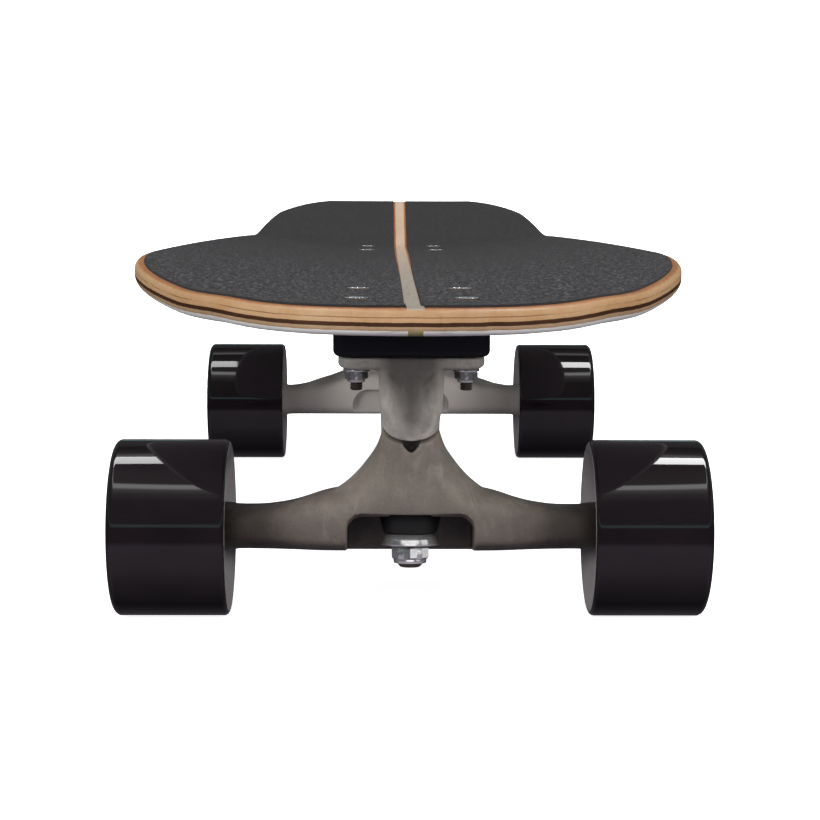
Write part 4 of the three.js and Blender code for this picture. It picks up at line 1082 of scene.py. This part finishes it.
def hanger_work():
    """Bar and mound blended, cut for bushings, kingpin, arch and axle, with the pivot pin on top."""
    body = combine(bar_work(), [mound_work()], "UNION")
    blend(body)
    lip = PIVOT_Z + PIVOT_HEAD * STEER.y - PIVOT_GAP
    front = PIVOT_Y - PIVOT_HEAD * STEER.z
    notch = [(-0.7, lip - 2.6), (0.7, lip - 2.6), (3.1, lip), (3.1, PIVOT_Z), (-3.1, PIVOT_Z), (-3.1, lip)]
    arch = arch_outline(ARCH_HALF, ARCH_CORNER, RING_Z - RING_HALF)
    brow = arch_outline(ARCH_HALF, ARCH_CORNER, RING_Z - 1.3)
    cuts = [
        pocket_work(),
        rod(BUSHING_R + 2.2, down_kingpin(RING_HALF), down_kingpin(RING_HALF + LOWER_BUSHING), 72),
        prism(arch, -52, -6.2),
        prism(brow, -60, -31.5),
        prism(arch_outline(29, 9, AXLE_Z + 7.5), BAR_R - 3.6, BAR_R + OVERRUN),
        prism(notch, front - 8, front + 6),
    ]
    combine(body, cuts, "DIFFERENCE")
    pin_foot = PIVOT_GAP + 2.5
    tip = pin_foot + 10.5
    pin = [(0, 0), (5, 0), (5, tip - 2.5, 1.5), (2.75, tip, 1), (0, tip)]
    combine(body, [solid(*revolve(rounded(pin)[1:-1], 56, PIVOT - STEER * pin_foot, STEER))], "UNION")
    reach = HANGER_HALF + OVERRUN
    bores = [rod(6.8, down_kingpin(12), down_kingpin(-12), 56),
             rod(AXLE_R + 0.25, (-reach, 0, AXLE_Z), (reach, 0, AXLE_Z), 40)]
    return combine(body, bores, "DIFFERENCE")


def build_castings():
    """Makes each casting and the riser pad once and places it at both ends."""
    plate = cast_skin(baseplate_work(), PLATE_ROUNDS)
    hanger = cast_skin(hanger_work(), HANGER_ROUNDS)
    parts = (
        (plate, "baseplate", "cast", "plate_casting", "casting", None),
        (hanger, "hanger", "cast", "hanger_casting", "casting", None),
        (riser_work(), "riser_pad", "rubber", "riser", "riser", 40),
    )
    for end in ENDS:
        for work, part, kind, look, slot, sharp in parts:
            name = f"{end}_{part}"
            body = f"{end}_steering" if part == "hanger" else "board"
            adopt(placed_mesh(work, Truck(end).matrix), f"{name}_{kind}", name, (look,), body, sharp)
    for work, *_ in parts:
        bpy.data.objects.remove(work)


def build_bushings(truck):
    """Both bushings, the pivot cup and the cup washer."""
    end, bore, radius = truck.end, KINGPIN_HOLE, BUSHING_R
    low, high = LOWER_BUSHING, UPPER_BUSHING
    lower = [(bore, 0), (radius, 0, 0.7), (radius, low * 0.3, 0.8), (10.3, low, 0.5), (bore, low), (bore, 0)]
    upper = [(bore, 0), (radius, 0, 0.7), (radius, high * 0.2, 1.2), (10.6, high * 0.5, 2),
             (radius, high * 0.8, 1.2), (radius, high, 0.7), (bore, high), (bore, 0)]
    cup = [(5.35, 0), (7.8, 0, 0.5), (7.8, 12.15, 0.6), (0.2, 12.15), (0.2, 10.85), (3.2, 10.85, 0.8),
           (5.35, 8.7, 0.8), (5.35, 0)]
    washer = [(bore, 0), (9.7, 0, 0.5), (11.2, 1.5, 0.9), (11.2, WASHER_HEIGHT, 0.6),
              (9.9, WASHER_HEIGHT, 0.5), (9.6, 1.7, 0.8), (bore, 1.6), (bore, 0)]
    seat = RING_HALF + GAP
    for node, kind, profile, sides, foot, axis, look in (
            ("lower_bushing", "urethane", lower, 72, down_kingpin(seat), -KINGPIN, "bushing"),
            ("upper_bushing", "urethane", upper, 72, down_kingpin(-seat), KINGPIN, "bushing"),
            ("pivot_cup", "urethane", cup, 64, PIVOT, STEER, "bushing"),
            ("cup_washer", "zinc", washer, 96, down_kingpin(WASHER_DROP), -KINGPIN, "steel")):
        shape = revolve(rounded(profile), sides, foot, axis)
        truck.add(f"{end}_{node}_{kind}", f"{end}_{node}", shape, (look,), slot=look)


def build_kingpin(truck):
    """The kingpin's lock nut, and the kingpin with its sunk head and threaded end."""
    end = truck.end
    nut = nut_mesh(14.3, NUT_HEIGHT, KINGPIN_COLLAR, KINGPIN_HOLE, down_kingpin(NUT_DROP), -KINGPIN)
    truck.add(f"{end}_kingpin_locknut", f"{end}_kingpin_nut", nut, NUT_LOOKS, sharp=28)
    foot = down_kingpin(KINGPIN_DROP)
    seat = (kingpin_at(HEAD_SEAT) - foot).length
    top = seat + 4.5 - KINGPIN_HEAD * math.sin(LEAN)
    threaded = 20.0
    rows = [(0.3, 0), (3.3, 0), (3.9, 0.25)] + shank(KINGPIN_R, 1.1, 19, 84)
    rows += [(KINGPIN_R, threaded + 0.2), (KINGPIN_R, seat - 0.6), (KINGPIN_R + 0.6, seat),
             (KINGPIN_HEAD, seat), (KINGPIN_HEAD, top - 0.4), (KINGPIN_HEAD - 0.4, top), (0.3, top)]
    verts, faces = revolve(rows, 40, foot, KINGPIN, thread_shape(KINGPIN_R, 1.25, 0.42, 1.3, threaded))
    looks = [1 if sum((verts[v] - foot).length for v in face) < threaded * len(face) else 0 for face in faces]
    truck.add(f"{end}_kingpin_bolt", f"{end}_kingpin", (verts, faces, looks), BOLT_LOOKS, sharp=50)


def build_axle(truck):
    """The axle with a thread at each end, and its two lock nuts."""
    end, body = truck.end, f"{truck.end}_steering"
    half = AXLE_NUT_X + NUT_HEIGHT + AXLE_COLLAR + AXLE_PROUD
    rows = [(0.3, -half), (2.9, -half), (3.4, -half + 0.2)] + shank(AXLE_R, -half + 0.9, 9.0, 44)
    rows.append((AXLE_R, -half + 10.2))
    rows += [(r, -z) for r, z in reversed(rows)]
    low = thread_shape(AXLE_R, 1.2, 0.4, -half + 1.0, -half + 9.8)
    high = thread_shape(AXLE_R, 1.2, 0.4, half - 9.8, half - 1.0)
    shape = revolve(rows, 36, (0, 0, AXLE_Z), (1, 0, 0), lambda a, r, z: low(a, high(a, r, z), z))
    truck.add(f"{end}_axle_rod", f"{end}_axle", shape, body=body, sharp=50)
    for side in (-1, 1):
        nut = nut_mesh(12.7, NUT_HEIGHT, AXLE_COLLAR, 4.25, (side * AXLE_NUT_X, 0, AXLE_Z), (side, 0, 0))
        where = truck.corner(side)
        truck.add(f"axle_locknut_{where}", f"axle_nut_{where}", nut, NUT_LOOKS, body, sharp=28)


def build_deck_bolts(truck):
    """Four countersunk bolts, each with a washer and a lock nut under the plate."""
    down = Vector((0, 0, -1))
    height, collar, washer_room, end_shows = 3.0, 1.0, 1.1, 3.0
    verts, faces = bolt_mesh(BOLT_TOP - NUT_TOP + height + collar + washer_room + end_shows)
    looks = [1 if sum(verts[v][2] for v in face) < -5 * len(face) else 0 for face in faces]
    washer = rounded([(2.9, 0), (5.0, 0, 0.15), (5.0, 0.9, 0.3), (2.9, 0.9), (2.9, 0)], 2)
    for i, (x, y) in enumerate(bolt_places(), 1):
        name = f"{truck.end}_deck_bolt_{i}"
        moved = [v + Vector((x, y, BOLT_TOP)) for v in verts]
        truck.add(f"{name}_screw", name, (moved, faces, looks), BOLT_LOOKS, sharp=40)
        nut, nut_faces, nut_looks = nut_mesh(7.6, height, collar, BOLT_HOLE, (x, y, NUT_TOP - 1.0), down, 72)
        ring, ring_faces = revolve(washer, 60, (x, y, NUT_TOP), down)
        both = (*merged([(nut, nut_faces), (ring, ring_faces)]), nut_looks + [0] * len(ring_faces))
        truck.add(f"{truck.end}_deck_locknut_{i}", f"{truck.end}_deck_nut_{i}", both, NUT_LOOKS, sharp=28)


# Wheels

def tyre_profile():
    """Profile along the wheel's axis as (radius, x), with the outer face at +x and the dish at -x."""
    half, bore = WHEEL_W / 2, 16.8
    seat = CORE_W / 2 - 2.2
    dish = 6.0
    points = [(bore, -seat), (16.9, -CORE_W / 2, 0.1), (16.9, dish - half, 1.2), (30.8, -half, 1.0)]
    back_lip, lip, lip_width = 2.0, 4.2, 3.0
    points += [(WHEEL_R - back_lip + back_lip * s, -(half - back_lip + back_lip * c)) for s, c in quarter(8)]
    points += [(WHEEL_R - lip + lip * s, half - lip_width + lip_width * c) for s, c in quarter(12)[::-1]]
    points += [(29.6, half, 0.8), (23.6, half, 0.8), (22.5, half - 0.6, 1.5), (18.8, CORE_W / 2, 0.8),
               (bore, seat), (bore, -seat)]
    return rounded(points)


def row_looks(profile, sides, look_of):
    """Face materials of a turned profile, by the ends of each stretch."""
    looks = []
    for a, b in zip(profile, profile[1:]):
        looks += [look_of(a, b)] * sides
    return looks


def build_wheel(truck, side):
    """A tyre in gloss, satin and a painted sheen on its inner side, its core and the two bearings."""
    where = truck.corner(side)
    body = f"{where}_wheel"
    centre, axis = Vector((side * WHEEL_X, 0, AXLE_Z)), Vector((side, 0, 0))
    tread_from = WHEEL_R - 1.7
    profile, sides = tyre_profile(), 144

    def tyre_look(a, b):
        if min(a[0], b[0]) >= tread_from:
            return 0
        return 1 if max(a[1], b[1]) > 0 else 2

    tyre = (*revolve(profile, sides, centre, axis), row_looks(profile, sides, tyre_look))
    truck.add(f"tyre_{where}", f"wheel_{where}_tyre", tyre, ("tyre", "tyre_side", "tyre_back"), body,
              "urethane", 30)
    half, bore, hub = CORE_W / 2, 11.25, 8.6
    seat = half - 7.25
    rim = [(12.6, half, 0.3), (12.9, half - 0.5, 0.3), (14.1, half - 0.5, 0.3), (16.5, half - 2.2, 0.4)]
    core = [(bore, -half, 0.3), (bore, -seat), (hub, -seat), (hub, seat), (bore, seat), (bore, half, 0.3)]
    core += rim + [(r, -x, fillet) for r, x, fillet in reversed(rim)] + [(bore, -half, 0.3)]
    shape = revolve(rounded(core, 3), 96, centre, axis)
    truck.add(f"core_{where}", f"wheel_{where}_core", shape, ("core",), body, "core")
    near, far, shield_x = half - 7, half, half - 0.45
    races = rounded([(4.3, near, 0.2), (11, near, 0.3), (11, far, 0.35), (9.9, far, 0.15),
                     (9.6, shield_x, 0.1), (6.5, shield_x, 0.1), (6.2, far, 0.15), (4.3, far, 0.3),
                     (4.3, near, 0.2)], 2)

    def race_look(a, b):
        return 1 if 6.4 < (a[0] + b[0]) / 2 < 9.7 and (a[1] + b[1]) / 2 > far - 0.6 else 0

    for label, sign in (("outer", 1), ("inner", -1)):
        name = f"bearing_{where}_{label}"
        shape = (*revolve(races, 80, centre, axis * sign), row_looks(races, 80, race_look))
        truck.add(f"{name}_races", name, shape, ("steel", "shield"), body, sharp=30)


# Stage, light and camera, in metres

def build_stage():
    """Pale sweep: a floor that curves up well behind the board."""
    front, bend_at, bend, wall_top, half = -14.0, 2.6, 1.2, 4.5, 12
    rows = [(y, 0.0) for y in np.linspace(front, bend_at, 24)]
    rows += [(bend_at + bend * s, bend * (1 - c)) for s, c in quarter(16)[1:]] + [(bend_at + bend, wall_top)]
    verts = [(x, y, z) for y, z in rows for x in (-half, half)]
    faces = [(i, i + 1, i + 3, i + 2) for i in range(0, len(verts) - 2, 2)]
    mesh = bpy.data.meshes.new("sweep")
    mesh.from_pydata(verts, [], faces)
    mesh.shade_smooth()
    s = Shader("pale_sweep")
    tone = s.fade(s.noise(1.5, 2), 0.3, 0.7, (0.90, 0.90, 0.90), (0.87, 0.87, 0.87))
    mesh.materials.append(s.done(tone, 0.9, Specular_IOR_Level=0.1, Emission_Color=1, Emission_Strength=0.9))
    obj = put_in_scene("sweep", mesh)
    obj.visible_diffuse = False
    obj.visible_glossy = False


def build_world():
    """The studio as the tyres mirror it: bands by height, dimmer low and high up behind the board."""
    world = bpy.data.worlds.new("studio")
    world.use_nodes = True
    s = Nodes(world.node_tree, "Generated")
    height = s.axis("Z")
    teal = (0.36, 0.62, 0.60)
    stops = [
        (-1.0, (0.10, 0.09, 0.11)), (-0.93, (0.16, 0.14, 0.17)), (-0.75, (0.31, 0.28, 0.33)),
        (-0.27, (0.36, 0.32, 0.38)), (-0.17, (0.05, 0.045, 0.055)), (0.15, (0.04, 0.036, 0.045)),
        (0.172, teal), (0.208, teal), (0.235, (0.07,) * 3), (0.68, (0.10,) * 3), (0.79, (0.35,) * 3),
        (0.85, (0.9,) * 3), (0.868, (3.4,) * 3), (0.902, (3.6,) * 3), (0.915, (0.3,) * 3), (1.0, (0.2,) * 3),
    ]
    ramp = s.node("ShaderNodeValToRGB", (("Fac", s.span(height, -1, 1)),))
    places = ramp.color_ramp.elements
    for at, _ in stops[1:-1]:
        places.new((at + 1) / 2)
    for place, (_, colour) in zip(places, stops):
        place.color = colour + (1,)
    behind = s.span(s.axis("Y"), -0.1, 0.3, 1.0, 0.25)
    level = s.math("MINIMUM", s.span(height, -0.05, 0.05), s.span(height, 0.60, 0.70, 1.0, 0.0))
    back = world.node_tree.nodes["Background"]
    s.feed(back.inputs["Color"], ramp.outputs["Color"])
    s.feed(back.inputs["Strength"], s.math("MAXIMUM", behind, level))
    bpy.context.scene.world = world


def area(name, place, target, size, watts, glossy=False):
    data = bpy.data.lights.new(name, "AREA")
    data.shape = "RECTANGLE"
    data.size, data.size_y = size
    data.energy = watts
    obj = put_in_scene(name, data)
    obj.location = place
    obj.rotation_euler = (Vector(target) - Vector(place)).to_track_quat("-Z", "Y").to_euler()
    obj.visible_glossy = glossy
    return obj


def gathered(name, wanted):
    """A collection of the pieces that a light is meant for."""
    group = bpy.data.collections.new(name)
    for obj in bpy.context.scene.objects:
        if obj.type == "MESH" and wanted(obj):
            group.objects.link(obj)
    return group


def is_zinc(obj):
    return any(mat and mat.name.startswith("bright_zinc") for mat in obj.data.materials)


def at_kingpin(obj):
    return "kingpin" in obj.name or "washer" in obj.name


def build_lights():
    area("top_left", (-0.5, 0.10, 1.2), (-0.5, 0.10, 0), (0.6, 0.30), 5.5, True)
    area("top_right", (0.5, 0.10, 1.2), (0.5, 0.10, 0), (0.6, 0.28), 8.5, True)
    area("front_soft", (0, -2.2, 1.5), (0, -0.1, 0.05), (2.6, 1.4), 46)
    area("side_left", (-1.5, -0.95, 0.40), (0, -0.2, 0.06), (0.7, 0.6), 16)
    area("side_right", (1.5, -0.95, 0.40), (0, -0.2, 0.06), (0.7, 0.6), 14)
    area("rear_top", (0, 0.9, 2.2), (0, 0.4, 0), (3.4, 1.6), 34)
    area("wall", (0, 1.6, 2.4), (0, 3.9, 1.0), (4.0, 1.0), 110)
    area("floor_front", (0, -1.9, 2.3), (0, -1.2, 0), (3.0, 1.0), 12)
    tyres = gathered("tyres", lambda obj: obj.name.startswith("tyre_"))
    for name, side in (("dish_right", -1), ("dish_left", 1)):
        glow = area(name, (side * 0.38, -1.57, 0.48), (-side * 0.074, -0.216, 0.04), (0.3, 0.3), 17)
        glow.light_linking.receiver_collection = tyres
    kingpin_metal = gathered("kingpin_metal", lambda obj: is_zinc(obj) and at_kingpin(obj))
    deck_metal = gathered("deck_metal", lambda obj: is_zinc(obj) and not at_kingpin(obj))
    for name, place, target, size, watts, lit in (
            ("card_front", (0, -0.60, 0.075), (0, -0.27, 0.055), (0.50, 0.14), 0.24, kingpin_metal),
            ("card_low", (0, -0.40, 0.009), (0, -0.28, 0.054), (0.12, 0.03), 0.015, kingpin_metal),
            ("card_right", (1.15, -0.95, 0.12), (0, -0.27, 0.06), (0.7, 0.6), 1.2, kingpin_metal),
            ("card_nuts", (-0.45, -1.0, 0.16), (0, -0.26, 0.09), (0.18, 0.3), 0.22, deck_metal)):
        card = area(name, place, target, size, watts, True)
        card.visible_camera = False
        card.light_linking.receiver_collection = lit


def set_view():
    view = bpy.context.scene.view_settings
    view.view_transform = "Standard"
    view.look = "None"
    view.exposure = 0
    view.gamma = 1


def build_camera():
    """The camera that was fitted to the photograph."""
    data = bpy.data.cameras.new("photo_angle")
    data.sensor_width = 36
    data.lens = 89.58
    data.clip_start = 0.01
    data.clip_end = 50
    yaw, pitch, roll = math.radians(0.729), math.radians(6.683), math.radians(0.206)
    forward = Vector((math.sin(yaw) * math.cos(pitch), math.cos(yaw) * math.cos(pitch), -math.sin(pitch)))
    side = Vector((math.cos(yaw), -math.sin(yaw), 0))
    up = side.cross(forward)
    right = side * math.cos(roll) + up * math.sin(roll)
    top = up * math.cos(roll) - side * math.sin(roll)
    matrix = Matrix((right, top, -forward)).transposed().to_4x4()
    matrix.translation = Vector((-0.01014, -1.0385, 0.1761))
    obj = put_in_scene("photo_angle", data)
    obj.matrix_world = matrix
    bpy.context.scene.camera = obj


build_deck()
build_grip(1, "left")
build_grip(-1, "right")
build_castings()
for truck_end in ENDS:
    one_truck = Truck(truck_end)
    build_bushings(one_truck)
    build_kingpin(one_truck)
    build_axle(one_truck)
    build_deck_bolts(one_truck)
    for wheel_side in (-1, 1):
        build_wheel(one_truck, wheel_side)
build_stage()
build_world()
build_lights()
set_view()
build_camera()
